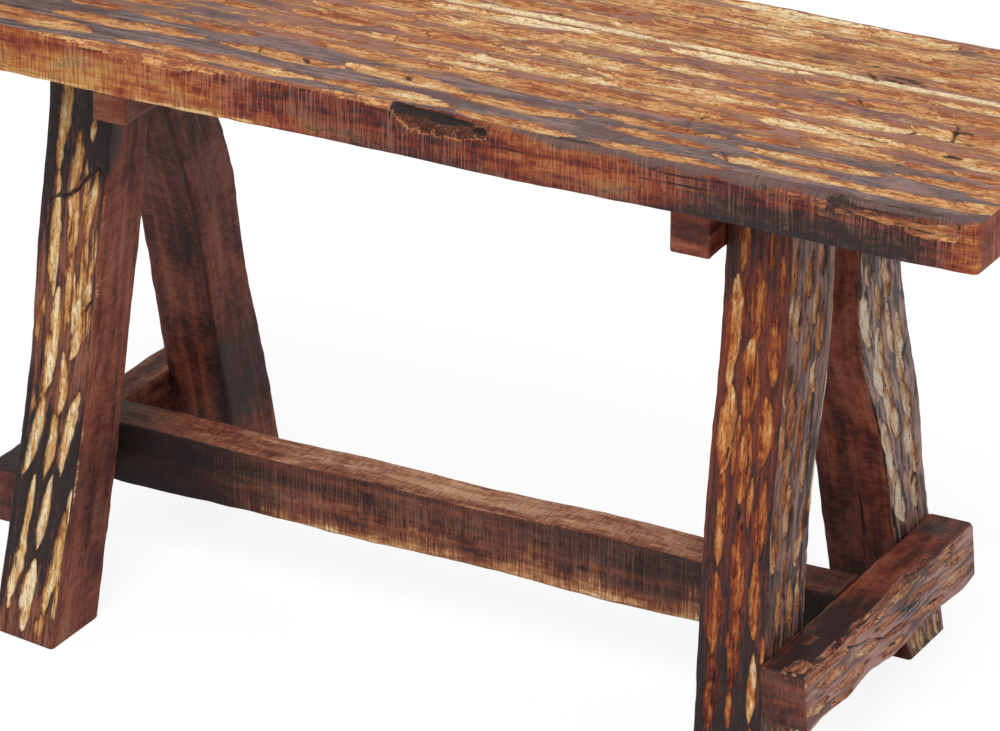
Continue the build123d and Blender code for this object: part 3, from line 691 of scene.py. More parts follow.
# a torn pocket under the arris: the painted shadow of the arris along its top, a lace of fibres below, a hole
# at its right end painted dark as the shade in it
pocket = frontPlank["pocket"]
along = s - pocket["s"]
u = along / pocket["halfLength"]
floor = pocket["z"] + np.where(u < 0, 12 * u ** 4, 7 * u * u)  # its lower edge rises to both ends
level = smooth(0, 2.5, z - floor + 2.0 * (drift(s, z, 5, 5, 72) - 0.5)) * smooth(1, 0.93, np.abs(u))
level *= smooth(449.5, 448.3, z + 0.04 * (along + pocket["halfLength"])) * front
hole = smooth(1, 0.5, np.hypot((along - 30) / 7, (z - 442.6) / 3.2)) * front
skin["sunk"] += pocket["deep"] * level + pocket["holeDeep"] * hole
torn = level > 0.02
# painted shadow of the overhanging arris, fading downwards and to the right
arrisShadow = smooth(441, 446, z + 0.05 * along + 4 * drift(s, z, 7, 3, 76) - 2) * smooth(34, 16, along)
skin["char"][torn] = arrisShadow[torn]
# painted shade in the hole
darken(skin, front, hole)
skin["tone"][torn] = (0.45 + 0.2 * smooth(20, 34, along))[torn]
skin["cut"][torn] = 0.8
crack(skin, "low", frontPlank["edgeCracks"], deep=0.9, dark=0.75)
skin["paint"][bevel | rough] = 0  # painted as the top is
skin["paint"][torn] = tornPaint
roughen(skin, deep=0.3, cellA=4, cellS=9, seed=21, torn=1.0)
raiseTimber(skin, "seatFrontPlank", [slabHewn, slabSawn, slabSawn, slabSawn, slabEnd, slabTorn])


# the back plank of the seat; a dark spot is (s, a, half length, half width, how dark)
backPlank = {
    "node": "top_plank_back", "slot": "hewn_top", "axes": (0, 1, 2), "cell": 1.9,
    "cells": (1.6, 2.0, 6.0, 4.0), "arris": 1.5, "samples": (0.1, 0.3, 0.5, 0.7, 0.9),
    "ends": (0, 0.25, 0.7, 1.4, 2.4, 3.8, 5.5, 7.5), "seed": 2.7,
    "strokes": [(-12, 40, 58, 60, 13, 0.66), (82, 138, 59, 60, 16, 0.62), (60, 162, 94, 92, 8, 0.66),
        (30, 88, 78, 77, 8, 0.4), (108, 204, 74, 73, 20, 0.5), (140, 243, 119, 122, 17, 0.8),
        (242, 302, 126, 125, 17, 0.84), (138, 212, 103, 102, 9, 0.66), (193, 300, 97, 98, 8, 0.6),
        (252, 352, 73, 76, 5, 0.6, -5), (318, 347, 57, 58, 6, 0.5), (270, 340, 88, 90, 6, 0.5),
        (150, 250, 52, 56, 8, 0.55), (90, 150, 107, 108, 8, 0.5), (120, 236, 132, 133, 9, 1.0),
        (232, 262, 46, 46, 6, 0.95), (160, 240, 45, 46, 7, 0.98), (0, 70, 45, 46, 6, 0.98)],
    "cracks": [[(38, 57), (48, 52), 1.2], [(102, 104), (110, 98), 1.2], [(114, 50), (126, 44), 1.1],
        [(240, 124), (250, 117), 1.0], [(288, 118), (296, 117), 1.0], [(270, 57), (277, 50), (281, 46), 1.4],
        [(285, 52), (292, 50), (298, 49), 1.2], [(300, 55), (310, 53), (313, 50), 1.1],
        [(290, 57), (309, 58), 1.2], [(303, 128), (306, 123), 1.0], [(60, 70), (90, 66), 1.0],
        [(95, 87), (125, 86), 1.2]],
    "darkSpots": [(245, 70, 44, 10, 0.5), (278, 84, 18, 7, 0.48), (240, 86, 14, 9, 0.42),
        (322, 96, 24, 9, 0.4), (292, 55, 22, 7, 0.56), (20, 72, 30, 4, 0.4)],
    "sawnRows": {0.0: [(-438, 0.55, 0.05), (438, 0.5, 0.1)], 1.0: [(-438, 0.6, 0.1), (438, 0.6, 0.05)]}}
skin = readTimber(backPlank)
filling = scatter(((-438, 438), (43, 138)), rows=7, seed=11, keep=unseen)
gouge(skin, "far", filling, deep=1.4, seed=60, broad=1.35, lift=-0.08)
gouge(skin, "far", backPlank["strokes"], deep=1.5, seed=9, broad=1.45, lift=-0.06)
top = onFace(skin, "far")
s, a = skin["s"], skin["a"]
skin["cut"][top] = np.maximum(skin["cut"], 0.75 * drift(a, s, 7, 75, 62))[top]
# bare cream wood along the arris at the seam, wide in two places
line = smooth(48.2, 45.8, a + 2.5 * (drift(s, a, 25, 9, 64) - 0.5)) * smooth(50, 80, s)
wideLine = smooth(-50, -30, s) * smooth(80, 60, s) + smooth(125, 145, s) * smooth(250, 225, s)
wideLine *= smooth(51, 46, a)
pale = np.clip(np.maximum(line, wideLine * (0.5 + drift(a, s, 5, 30, 63))), 0, 1)
skin["cut"][top] = np.maximum(skin["cut"], pale)[top]
skin["tone"][top] = (skin["tone"] * (1 - pale) + 1.4 * pale)[top]
skin["grey"][top] = (0.5 * smooth(-60, -220, s) + 0.5 * drift(a, s, 16, 60, 18) - 0.05)[top]
darken(skin, top, 0.4 * smooth(-60, -240, s) * (1 - skin["cut"]))
for middle, across, long, wide, much in backPlank["darkSpots"]:
    darken(skin, top, much * np.exp(-((s - middle) / long) ** 2 - ((a - across) / wide) ** 2))
crack(skin, "far", backPlank["cracks"], deep=1.3)
for side in ("high", "near", "low"):
    shade(skin, side, backPlank["sawnRows"])
roughen(skin, deep=0.3, cellA=4, cellS=9, seed=22, torn=1.0)
raiseTimber(skin, "seatBackPlank", [slabHewn, slabSawn, slabSawn, slabSawn, slabEnd])


# the four splayed legs: hewn on the faces that were the outside of the log, sawn on the inner ones. The
# swing is how much broader and paler the strokes get, and how dark the painted shade round their rim is. A
# pale arris is the high or the low one of its face, with bare patches from one height until another.
legFrontLeft = {
    "node": "leg_front_left", "swing": {"low": {"broad": 1.22, "lift": -0.1, "outline": 0.35}},
    "frayed": {
        "low": [(206, 330, -268, -241, 0.5, 0.52), (150, 200, -286, -279, 0.4, 0.5),
            (20, 110, -243, -239, 0.5, 0.6)]},
    "paleArris": {"high": False, "from": 60, "until": 310, "much": 0.35, "rare": 0.5},
    "cells": (1.6, 3.0, 2.2, 0.95), "seed": 3.1, "arris": 2.6,
    "materials": [legSawn, legSawn, barkHewn, leftLegHewn, endGrain],
    "strokes": {
        "low": [(322, 402, -279, -273, 9.5, 0.8), (345, 360, -253, -252, 5.5, 0.7),
            (316, 349, -262, -263, 8, 0.6), (302, 321, -277, -278, 5, 0.6), (236, 306, -276, -276, 9.5, 0.8),
            (262, 318, -260, -262, 6.5, 0.66), (222, 262, -263, -261, 5, 0.55),
            (276, 322, -251, -246, 6.5, 0.66), (236, 280, -252, -249, 6, 0.6),
            (166, 238, -277, -271, 11, 0.84, 1), (156, 195, -261, -262, 8, 0.75, 1),
            (194, 226, -256, -247, 10, 0.66, 1), (118, 171, -252, -246, 9.5, 0.9, -1.5),
            (110, 162, -285, -277, 10.5, 0.78, 3), (111, 154, -266, -264, 8.5, 0.7, 1.5),
            (70, 110, -275, -274, 7, 0.95), (24, 78, -281, -277, 9.5, 0.85, 1),
            (64, 112, -264, -260, 8.5, 0.85, 1.5), (23, 90, -250, -244, 9.5, 0.66, 1),
            (8, 54, -267, -265, 12, 0.9), (18, 24, -281, -281, 4, 0.6), (3, 20, -252, -251, 7, 0.3),
            (200, 232, -286, -284, 6, 0.5)]},
    "cracks": {
        "low": [
            [(303, -277), (304, -270), (311, -260), (320, -254), (327, -246), (328, -238), (322, -233),
                1.9],
            [(238, -241), (234, -244), (228, -247), 1.4], [(300, -282), (303, -276), 1.0]],
        "far": [[(327, -102), (327, -92), (322, -85), (318, -83), 1.5]]},
    "rows": {
        "low": {
            0.0: [(0, 0.5, 0.3), (25, 0.5, 0.5), (60, 0.5, 0.8), (160, 0.5, 0.9), (200, 0.5, 0.62),
                (240, 0.5, 0.5), (300, 0.5, 0.8), (340, 0.5, 0.95), (415, 0.5, 0.95)],
            0.45: [(0, 0.5, 0.15), (14, 0.5, 0.1), (30, 0.5, 0.6), (60, 0.5, 0.9), (112, 0.5, 0.9),
                (140, 0.5, 0.72), (165, 0.5, 0.4), (200, 0.5, 0.12), (250, 0.5, 0.2), (300, 0.5, 0.35),
                (320, 0.5, 0.66), (370, 0.5, 0.72), (415, 0.5, 0.8)],
            1.0: [(0, 0.5, 0.2), (20, 0.5, 0.3), (45, 0.5, 0.9), (112, 0.5, 0.95), (140, 0.5, 0.7),
                (170, 0.5, 0.2), (240, 0.5, 0.1, 0.1), (300, 0.5, 0.12, 0.1), (318, 0.5, 0.4),
                (330, 0.5, 1.0), (358, 0.5, 1.0), (415, 0.5, 0.9)]},
        "far": {
            0.0: [(0, 0.5, 0.1), (40, 0.48, 0.3), (120, 0.42, 0.5), (160, 0.52, 0.1), (300, 0.58),
                (318, 0.5, 0.2), (330, 0.3, 0.85), (415, 0.25, 0.85, 0.1)],
            0.3: [(0, 0.5, 0.05), (50, 0.44, 0.15), (110, 0.34, 0.4, 0.1), (150, 0.44, 0.15), (220, 0.52),
                (310, 0.52, 0.05), (340, 0.4, 0.35, 0.1), (415, 0.32, 0.5, 0.1)],
            0.5: [(0, 0.5, 0.05), (50, 0.44, 0.12), (110, 0.3, 0.4, 0.1), (150, 0.4, 0.18), (220, 0.5),
                (300, 0.5, 0.05), (330, 0.44, 0.2, 0.1), (415, 0.34, 0.45, 0.1)],
            1.0: [(0, 0.42, 0.1), (60, 0.4, 0.2, 0.1), (130, 0.36, 0.25, 0.2), (220, 0.42, 0.1, 0.1),
                (310, 0.44, 0.1), (340, 0.38, 0.3, 0.1), (415, 0.32, 0.5, 0.1)]}}}
legFrontRight = {
    "node": "leg_front_right",
    "swing": {
        "low": {"broad": 1.3, "lift": -0.17, "outline": 0.32},
        "far": {"broad": 1.7, "lift": 0.06, "outline": 0.4}},
    "paleArris": {"high": True, "from": 0, "until": 415, "much": 0.85, "rare": 0.3},
    "cells": (1.15, 3.0, 2.2, 0.95), "seed": 4.9, "arris": 2.4,
    "materials": [barkHewn, legSawn, legSawn, rightLegHewn, endGrain],
    "strokes": {
        "low": [(361, 392, 252, 256, 7, 0.68), (367, 392, 275, 275, 6, 0.4), (318, 367, 266, 266, 10, 0.5),
            (294, 354, 248, 248, 11, 0.85), (265, 317, 264, 264, 12, 0.68), (293, 343, 281, 281, 10, 0.42),
            (225, 281, 249, 249, 12, 0.72), (239, 281, 279, 279, 11, 0.58), (281, 298, 247, 247, 6, 0.7),
            (210, 260, 265, 265, 10, 0.68), (174, 226, 281, 283, 8, 0.5), (162, 222, 250, 251, 7.5, 0.62),
            (131, 192, 266, 267, 9, 0.5), (119, 171, 281, 281, 8, 0.58), (100, 154, 250, 250, 9, 0.55),
            (79, 132, 265, 267, 9.5, 0.36), (59, 105, 281, 282, 7.5, 0.85), (44, 94, 250, 251, 10.5, 0.4),
            (49, 74, 265, 265, 6, 0.4), (103, 121, 289, 289, 4, 0.7), (4, 44, 265, 266, 9, 0.5),
            (8, 52, 281, 281, 8, 0.6), (1, 40, 250, 250, 9, 0.5), (352, 378, 284, 284, 6, 0.3),
            (330, 356, 257, 257, 4, 0.3), (226, 262, 257, 258, 4, 0.3), (196, 226, 272, 273, 4, 0.35)],
        "far": [(319, 348, -86, -84, 9, 0.5), (343, 373, -69, -66, 10, 0.42), (328, 353, -94, -92, 7, 0.62),
            (292, 317, -72, -69, 9, 0.42), (250, 292, -92, -88, 8, 0.34), (256, 293, -65, -58, 7, 0.75),
            (246, 273, -80, -76, 8, 0.3), (237, 273, -104, -99, 9, 0.4), (164, 206, -115, -109, 9, 0.5),
            (156, 179, -81, -74, 8, 0.6), (182, 216, -98, -90, 8, 0.4), (204, 244, -101, -93, 8, 0.45),
            (352, 386, -92, -88, 8, 0.4), (296, 330, -53, -48, 8, 0.4), (318, 346, -61, -56, 7, 0.5),
            (208, 246, -73, -64, 8, 0.55), (118, 150, -106, -102, 6, 0.45), (116, 148, -89, -86, 6, 0.45),
            (120, 152, -77, -74, 6, 0.45), (222, 262, -84, -76, 6, 0.28), (168, 200, -71, -64, 7, 0.5),
            (352, 384, -50, -47, 8, 0.42), (276, 306, -101, -97, 8, 0.4), (140, 166, -98, -94, 6, 0.4),
            (20, 56, -112, -108, 8, 0.5), (14, 50, -92, -88, 8, 0.4), (25, 56, -78, -76, 7, 0.5)]},
    "cracks": {
        "low": [[(238, 267), (226, 267), 1.2], [(232, 250), (240, 251), 1.0], [(196, 264), (203, 265), 0.9],
            [(60, 250), (76, 250), (84, 251), 1.3], [(290, 261), (284, 263), 0.9]],
        "far": [[(330, -72), (322, -68), (316, -70), 1.4], [(246, -94), (236, -97), (225, -101), 1.5],
            [(200, -86), (186, -90), (172, -92), 1.3], [(270, -57), (255, -60), (240, -65), 1.2],
            [(356, -80), (340, -78), (326, -80), 1.1], [(150, -94), (138, -96), 1.2]]},
    "rows": {
        "low": {
            0.0: [(0, 0.5, 0.92, 0.3), (60, 0.5, 0.86, 0.3), (110, 0.5, 0.74, 0.2), (160, 0.5, 0.58, 0.1),
                (200, 0.5, 0.4), (300, 0.5, 0.25), (370, 0.5, 0.45), (415, 0.5, 0.55)],
            0.5: [(0, 0.5, 0.88, 0.3), (60, 0.5, 0.82, 0.3), (110, 0.5, 0.68, 0.1), (160, 0.5, 0.35),
                (250, 0.5, 0.12), (335, 0.5, 0.12), (372, 0.5, 0.45), (415, 0.5, 0.55)],
            1.0: [(0, 0.5, 0.78, 0.3), (60, 0.5, 0.78, 0.3), (110, 0.5, 0.72, 0.2), (160, 0.5, 0.62, 0.1),
                (230, 0.5, 0.62), (270, 0.5, 0.45), (330, 0.5, 0.25), (415, 0.5, 0.45)]},
        "far": {
            0.0: [(0, 0.5, 0.4, 0.2), (105, 0.5, 0.6, 0.2), (150, 0.5, 0.45, 0.2), (200, 0.5, 0.2, 0.1),
                (415, 0.5, 0.2)],
            1.0: [(0, 0.5, 0.4, 0.3), (105, 0.5, 0.6, 0.5), (150, 0.5, 0.4, 0.8), (230, 0.5, 0.1, 0.8),
                (300, 0.5, 0, 0.3), (360, 0.5, 0.05, 0.15), (415, 0.5, 0.2, 0.2)]}}}
# the back left leg: its front and right faces have low tones, maroon wood darkened further as the painted
# shadow of the seat and the front leg
legBackLeft = {
    "node": "leg_back_left", "cells": (1.7, 2.4, 2.2, 1.7), "seed": 6.3, "arris": 2.4,
    "materials": [legSawn, rightLegHewn, barkHewn, legSawn, endGrain], "strokes": {}, "cracks": {},
    "rows": {
        "low": {
            0.0: [(0, 0.3, 0.2), (200, 0.3, 0.1), (415, 0.34, 0.2)],
            0.8: [(0, 0.25, 0.3), (200, 0.28, 0.1), (415, 0.3, 0.2)],
            1.0: [(0, 0.2, 0.6), (200, 0.2, 0.55), (330, 0.2, 0.8), (415, 0.2, 0.8)]},
        "far": {
            0.0: [(0, 0.36, 0.3), (60, 0.36, 0.3, 0.1), (85, 0.3, 0.85, 0.3), (135, 0.3, 0.8, 0.3),
                (160, 0.36, 0.1), (300, 0.3, 0.15, 0.2), (415, 0.3, 0.3, 0.2)],
            1.0: [(0, 0.36, 0.2), (60, 0.4, 0.2), (95, 0.3, 0.6, 0.2), (150, 0.34, 0.4, 0.3), (200, 0.38),
                (300, 0.34, 0.1, 0.3), (415, 0.3, 0.3, 0.2)]}}}
legBackRight = {
    "node": "leg_back_right", "swing": {"far": {"broad": 1.6, "lift": 0.26, "outline": 0.3}},
    "cells": (1.15, 2.4, 2.2, 1.7), "seed": 7.7,
    "materials": [paleBarkHewn, leftLegHewn, legSawn, legSawn, endGrain], "arris": 2.4,
    "strokes": {
        "far": [(316, 348, 22, 14, 11, 0.6), (270, 312, 26, 14, 12, 0.75), (246, 280, 46, 37, 10, 0.5),
            (226, 262, 48, 37, 11, 0.78), (241, 279, 78, 67, 9, 0.62), (220, 254, 82, 71, 8, 0.55),
            (191, 228, 68, 55, 10, 0.72), (184, 210, 76, 67, 8, 0.5), (174, 204, 64, 51, 9, 0.62),
            (191, 224, 94, 81, 9, 0.6), (160, 194, 100, 87, 10, 0.6), (154, 184, 72, 59, 9, 0.62),
            (136, 164, 82, 69, 9, 0.5), (116, 149, 90, 75, 12, 0.66), (146, 174, 108, 97, 9, 0.5),
            (283, 312, 44, 33, 9, 0.45), (298, 332, 54, 43, 9, 0.4), (118, 152, 110, 99, 9, 0.45),
            (213, 247, 62, 51, 7, 0.5), (253, 292, 62, 51, 8, 0.5), (330, 368, 38, 30, 10, 0.5),
            (345, 390, 18, 10, 10, 0.6), (360, 398, 44, 38, 9, 0.5), (0, 21, 129, 121, 9, 0.42),
            (-4, 19, 143, 136, 9, 0.5), (2, 22, 153, 148, 7, 0.4), (4, 30, 118, 110, 7, 0.34)]},
    "cracks": {
        "far": [[(380, 6), (320, 8), (275, 12), (240, 27), (200, 45), (160, 61), (118, 74), 1.3],
            [(240, 52), (228, 58), 1.2], [(180, 80), (165, 84), (150, 92), 1.2]],
        "low": [[(150, 268), (115, 269), (80, 266), (40, 262), 1.1]]},
    "rows": {
        "far": {
            0.0: [(0, 0.5, 0.3, 0.3), (100, 0.5, 0.5, 0.3), (160, 0.5, 0.35, 0.4), (415, 0.5, 0.15, 0.5)],
            0.3: [(0, 0.5, 0.3, 0.3), (100, 0.5, 0.4, 0.4), (160, 0.5, 0.05, 0.4), (415, 0.5, 0.05, 0.6)],
            1.0: [(0, 0.5, 0.2, 0.3), (100, 0.5, 0.3, 0.3), (415, 0.5, 0.1, 0.5)]},
        "low": {
            0.0: [(0, 0.26, 0.4), (150, 0.34, 0.2), (300, 0.46), (415, 0.42, 0.2)],
            1.0: [(0, 0.26, 0.3), (150, 0.36, 0.1), (300, 0.46), (415, 0.42, 0.2)]}}}
legs = {"legFrontLeft": legFrontLeft, "legFrontRight": legFrontRight,
        "legBackLeft": legBackLeft, "legBackRight": legBackRight}
legSpan = (0, 415)
plainLeg = {0.0: [(0, 0.4, 0.35, 0.2), (200, 0.42, 0.1, 0.1), (415, 0.36, 0.4, 0.2)]}


def unseenStrokes(skin, n, seed):  # for a hewn face that has no listed ones
    if n % 2:  # a natural edge: they lie across the thickness
        return scatter((legSpan, skin["bounds"]), rows=4, seed=seed, length=(45, 62), wide=(8, 11),
                       tone=(0.4, 0.8))
    # a sawn face follows the splay, so they are laid out from its middle line
    middles = [np.interp(z, skin["stations"], (skin["low"] + skin["high"])[:, 0] / 2) for z in legSpan]
    cuts = scatter((legSpan, (-32, 32)), rows=5, seed=seed + n, length=(32, 52), wide=(7, 11),
                   tone=(0.35, 0.7))
    return [(s0, s1, a0 + np.interp(s0, legSpan, middles), a1 + np.interp(s1, legSpan, middles), *rest)
            for s0, s1, a0, a1, *rest in cuts]


for name, leg in legs.items():
    leg.update(axes=(2, 1, 0), cell=1.5, slot="hewn_leg")
    skin = readTimber(leg)
    seed = int(leg["seed"] * 10)
    for n, side in enumerate(sides):
        onSide = onFace(skin, side)
        shade(skin, side, leg["rows"].get(side, plainLeg))
        if leg["materials"][n] is not legSawn:
            if side in leg["strokes"]:
                gouge(skin, side, leg["strokes"][side], deep=2.0, seed=70 + n, **leg["swing"][side])
            else:
                gouge(skin, side, unseenStrokes(skin, n, seed), deep=1.7, seed=90 + n)
            skin["char"][onSide] *= (1 - 0.88 * skin["cut"])[onSide]
            fray(skin, side, leg.get("frayed", {}).get(side, []), cell=3.0, long=34, deep=0.8)
            if leg["materials"][n] in (barkHewn, paleBarkHewn):
                furrow(skin, onSide, seed + n)
        if n == 0 and "paleArris" in leg:  # bare wood showing along one arris
            arris = leg["paleArris"]
            inward = skin["high"] - skin["across"] if arris["high"] else skin["across"] - skin["low"]
            pale = smooth(4.5, 2.0, inward) * onSide
            pale *= (skin["s"] > arris["from"]) * (skin["s"] < arris["until"])
            patches = drift(skin["a"], skin["s"], 9, 24, 93)
            pale *= arris["much"] * smooth(arris["rare"], arris["rare"] + 0.15, patches)
            blend(skin, pale, cut=1.0, tone=0.95, char=0.0)
        if side in leg["cracks"]:
            crack(skin, side, leg["cracks"][side], deep=1.3)
    roughen(skin, deep=0.5, cellA=3.5, cellS=7, seed=seed, torn=0.8)
    raiseTimber(skin, name, leg["materials"])


# the lower rails: scorched on top, hewn outside, their ends sawn at a slope. The span is where the ends stand
# at the bottom, and the rake is how far each has moved at the top.
railRight = {
    "node": "lower_rail_right", "cells": (1.1, 1.3, 3.0, 2.0), "seed": 8.3, "span": (-125, 137),
    "rake": (-8, -8), "materials": [railHewn, legSawn, railSawn, railSawn, endGrain], "arris": 3.2,
    "frayed": {
        "far": [(-131, -70, 96.5, 107.5, 0.9, 0.56), (-78, -12, 98, 107.5, 0.9, 0.54),
            (-20, 62, 99, 107.5, 0.85, 0.5), (80, 122, 100, 107.5, 0.8, 0.46)],
        "high": [(-134, -104, 308, 329, 0.9, 0.42), (-108, 62, 319, 329, 0.9, 0.46),
            (-82, -68, 301, 307, 0.7, 0.24)]},
    "strokes": [(-128, -98, 99, 100, 6, 0.66), (-108, -68, 90, 86, 8, 0.55), (-52, -12, 87, 82, 8, 0.7),
        (-82, -34, 74, 74, 9, 0.6), (-130, -92, 76, 73, 8, 0.5), (-48, -8, 102, 99, 6, 0.6),
        (28, 80, 92, 87, 7, 0.4), (38, 84, 74, 69, 7, 0.45), (84, 130, 77, 73, 9, 0.62),
        (-12, 24, 68, 66, 8, 0.4), (-100, -60, 100, 97, 6, 0.42), (-20, 22, 92, 88, 6, 0.4),
        (60, 100, 100, 97, 6, 0.4), (92, 128, 92, 88, 7, 0.45), (-92, -58, 66, 64, 6, 0.4),
        (-8, 30, 80, 76, 6, 0.35), (0, 40, 101, 99, 5, 0.4)],
    "cracks": [[(-60, 98), (-44, 92), (-30, 90), 1.2], [(-18, 84), (-10, 80), 1.6], [(30, 86), (44, 84), 1.2],
        [(66, 72), (80, 70), 1.2], [(-112, 82), (-96, 80), 1.0], [(0, 70), (10, 67), 1.2]],
    "rows": {
        "far": {
            0.0: [(-133, 0.5), (10, 0.5, 0, 0.1), (45, 0.5, 0.1, 0.5), (137, 0.5, 0, 0.1)],
            0.6: [(-133, 0.5), (0, 0.5, 0, 0.1), (25, 0.5, 0.5, 0.7), (60, 0.5, 0.4, 0.6), (137, 0.5)],
            1.0: [(-133, 0.5), (-60, 0.5, 0.1, 0.1), (20, 0.5, 0.4, 0.7), (90, 0.5, 0.4, 0.6),
                (137, 0.5, 0, 0.1)]},
        "high": {
            0.0: [(-133, 0.6, 0.2), (-112, 0.56, 0.3), (-60, 0.46, 0.5), (-15, 0.46, 0.4), (30, 0.46, 0.1),
                (60, 0.46, 0.1), (110, 0.4, 0.4, 0.3), (137, 0.46, 0.1, 0.2)],
            0.3: [(-133, 0.3, 0.7), (-105, 0.3, 0.85), (-60, 0.3, 0.8), (-30, 0.3, 0.9, 0.3), (-5, 0.38, 0.5),
                (15, 0.44, 0.1), (95, 0.46), (110, 0.32, 0.6, 0.5), (137, 0.4, 0.4, 0.3)],
            1.0: [(-133, 0.3, 0.7), (-50, 0.3, 0.75), (10, 0.36, 0.4), (25, 0.44, 0.1), (70, 0.44, 0.1),
                (137, 0.38, 0.4, 0.2)]}}}
railLeft = {
    "node": "lower_rail_left", "cells": (3.0, 1.6, 1.6, 2.0), "seed": 9.1, "span": (-112.5, 137),
    "rake": (-8, -8), "materials": [railSawn, railSawn, barkHewn, railSawn, endGrain], "arris": 3.2,
    "strokes": [], "cracks": [],
    "rows": {
        "high": {
            0.0: [(-121, 0.3, 0.85, 0.3), (-60, 0.3, 0.8, 0.2), (50, 0.44, 0.2, 0.1), (137, 0.48, 0.05)],
            1.0: [(-121, 0.3, 0.8, 0.2), (30, 0.46, 0.1, 0.1), (137, 0.54)]}}}
rails = {"railRight": railRight, "railLeft": railLeft}
plainRail = {0.0: [(-133, 0.36, 0.4, 0.1), (0, 0.4, 0.2), (137, 0.4, 0.2)]}
for name, rail in rails.items():
    rail.update(axes=(1, 2, 0), cell=1.4, slot="hewn_rail")
    skin = readTimber(rail)
    seed = int(rail["seed"] * 10)
    for n, side in enumerate(sides):
        shade(skin, side, rail["rows"].get(side, plainRail))
        if rail["materials"][n] in (barkHewn, railHewn):
            cuts = rail["strokes"] or scatter(((-120, 137), (64, 104)), rows=4, seed=31, length=(34, 52),
                                              wide=(7, 10), tone=(0.35, 0.7))
            gouge(skin, side, cuts, deep=1.8, seed=130 + n, broad=1.25, lift=0.04, outline=0.1)
            crack(skin, side, rail["cracks"], deep=1.2)
            furrow(skin, onFace(skin, side), seed + n, dark=0.25)
        patches = rail.get("frayed", {}).get(side, [])
        bare = fray(skin, side, patches, cell=2.6, long=14, deep=0.9) > 0.3
        if side == "high":
            skin["char"][bare] = (0.8 * drift(skin["a"], skin["s"], 2.4, 6, 78))[bare]
            skin["paint"][bare] = 0  # painted as the hewn outer face is
    roughen(skin, deep=0.6, cellA=4, cellS=8, seed=seed, torn=0.7)
    raiseTimber(skin, name, rail["materials"])


# the stretcher between the rails, with a stub tenon on each end
stretcher = {
    "node": "stretcher", "slot": "sawn_rail", "axes": (0, 2, 1), "cell": 1.6, "cells": (2.2, 1.6, 1.3, 3.0),
    "seed": 10.7, "arris": 2.0, "span": (-291.5, 291.5), "tenon": (0.291, 0.3065),
    "rows": {
        "near": {
            0.0: [(-292, 0.3, 1), (-230, 0.3, 0.95), (-160, 0.3, 0.62, 0.1), (-130, 0.5, 0.2), (0, 0.5, 0.2),
                (100, 0.5, 0.25), (180, 0.4, 0.5, 0.2), (292, 0.3, 0.8, 0.2)],
            0.6: [(-292, 0.3, 1), (-230, 0.3, 1), (-190, 0.3, 0.7, 0.1), (-140, 0.32, 0.35, 0.2),
                (-60, 0.34, 0.25, 0.2), (30, 0.32, 0.3, 0.2), (120, 0.3, 0.4, 0.3), (292, 0.3, 0.8, 0.2)],
            1.0: [(-292, 0.3, 1), (-220, 0.3, 0.9), (-150, 0.3, 0.5, 0.1), (-80, 0.32, 0.35, 0.2),
                (0, 0.32, 0.4, 0.2), (120, 0.3, 0.45, 0.3), (292, 0.3, 0.8, 0.2)]},
        # the top is darker towards its left end
        "high": {
            0.0: [(-292, 0.34, 0.5), (-240, 0.42, 0.3), (-215, 0.48, 0.15), (-170, 0.6), (-100, 0.7),
                (50, 0.66), (160, 0.54, 0, 0.15), (240, 0.44, 0.2, 0.3), (292, 0.4, 0.5, 0.2)],
            1.0: [(-292, 0.36, 0.5), (-230, 0.46, 0.2), (-150, 0.7), (0, 0.86), (150, 0.8, 0, 0.1),
                (292, 0.4, 0.5, 0.2)]},
        "far": {0.0: [(-292, 0.36, 0.5, 0.1), (0, 0.44, 0.1), (292, 0.36, 0.4, 0.1)]},
        "low": {0.0: [(-292, 0.36, 0.6, 0.1), (0, 0.4, 0.3), (292, 0.36, 0.4, 0.1)]}}}
skin = readTimber(stretcher)
for side in sides:
    shade(skin, side, stretcher["rows"][side])
# bare wood where the lower arris was scraped: the finish thins it out into scratches
front = onFace(skin, "near")
height = (skin["across"] - skin["low"]) / (skin["high"] - skin["low"])
inside = smooth(-200, -120, skin["s"]) * smooth(300, 200, skin["s"])
worn = 0.66 * np.clip(1 - height / (0.16 + 0.6 * drift(skin["s"], height, 11, 9, 56) ** 2), 0, 1) ** 0.7
skin["cut"][front] = ((worn + 0.06) * inside)[front]
skin["tone"][front] += (0.2 * smooth(0.3, 0.0, height) * inside)[front]
roughen(skin, deep=0.45, cellA=4, cellS=9, seed=77)


def addTenons(bm):  # as wide and as high as the solid is past its shoulders
    spots = np.array([v.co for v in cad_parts["stretcher"].data.vertices])
    root, tip = stretcher["tenon"]
    for sign in (-1, 1):
        end = spots[sign * spots[:, 0] > (root + tip) / 2]
        lo, hi = end.min(0), end.max(0)
        lo[0], hi[0] = sorted((sign * root, sign * tip))
        place = Matrix.Translation((lo + hi) / 2) @ Matrix.Diagonal((*(hi - lo), 1))
        bmesh.ops.create_cube(bm, size=1, matrix=place)


raiseTimber(skin, "stretcherBeam", [railSawn] * 4 + [endGrain], addTenons)


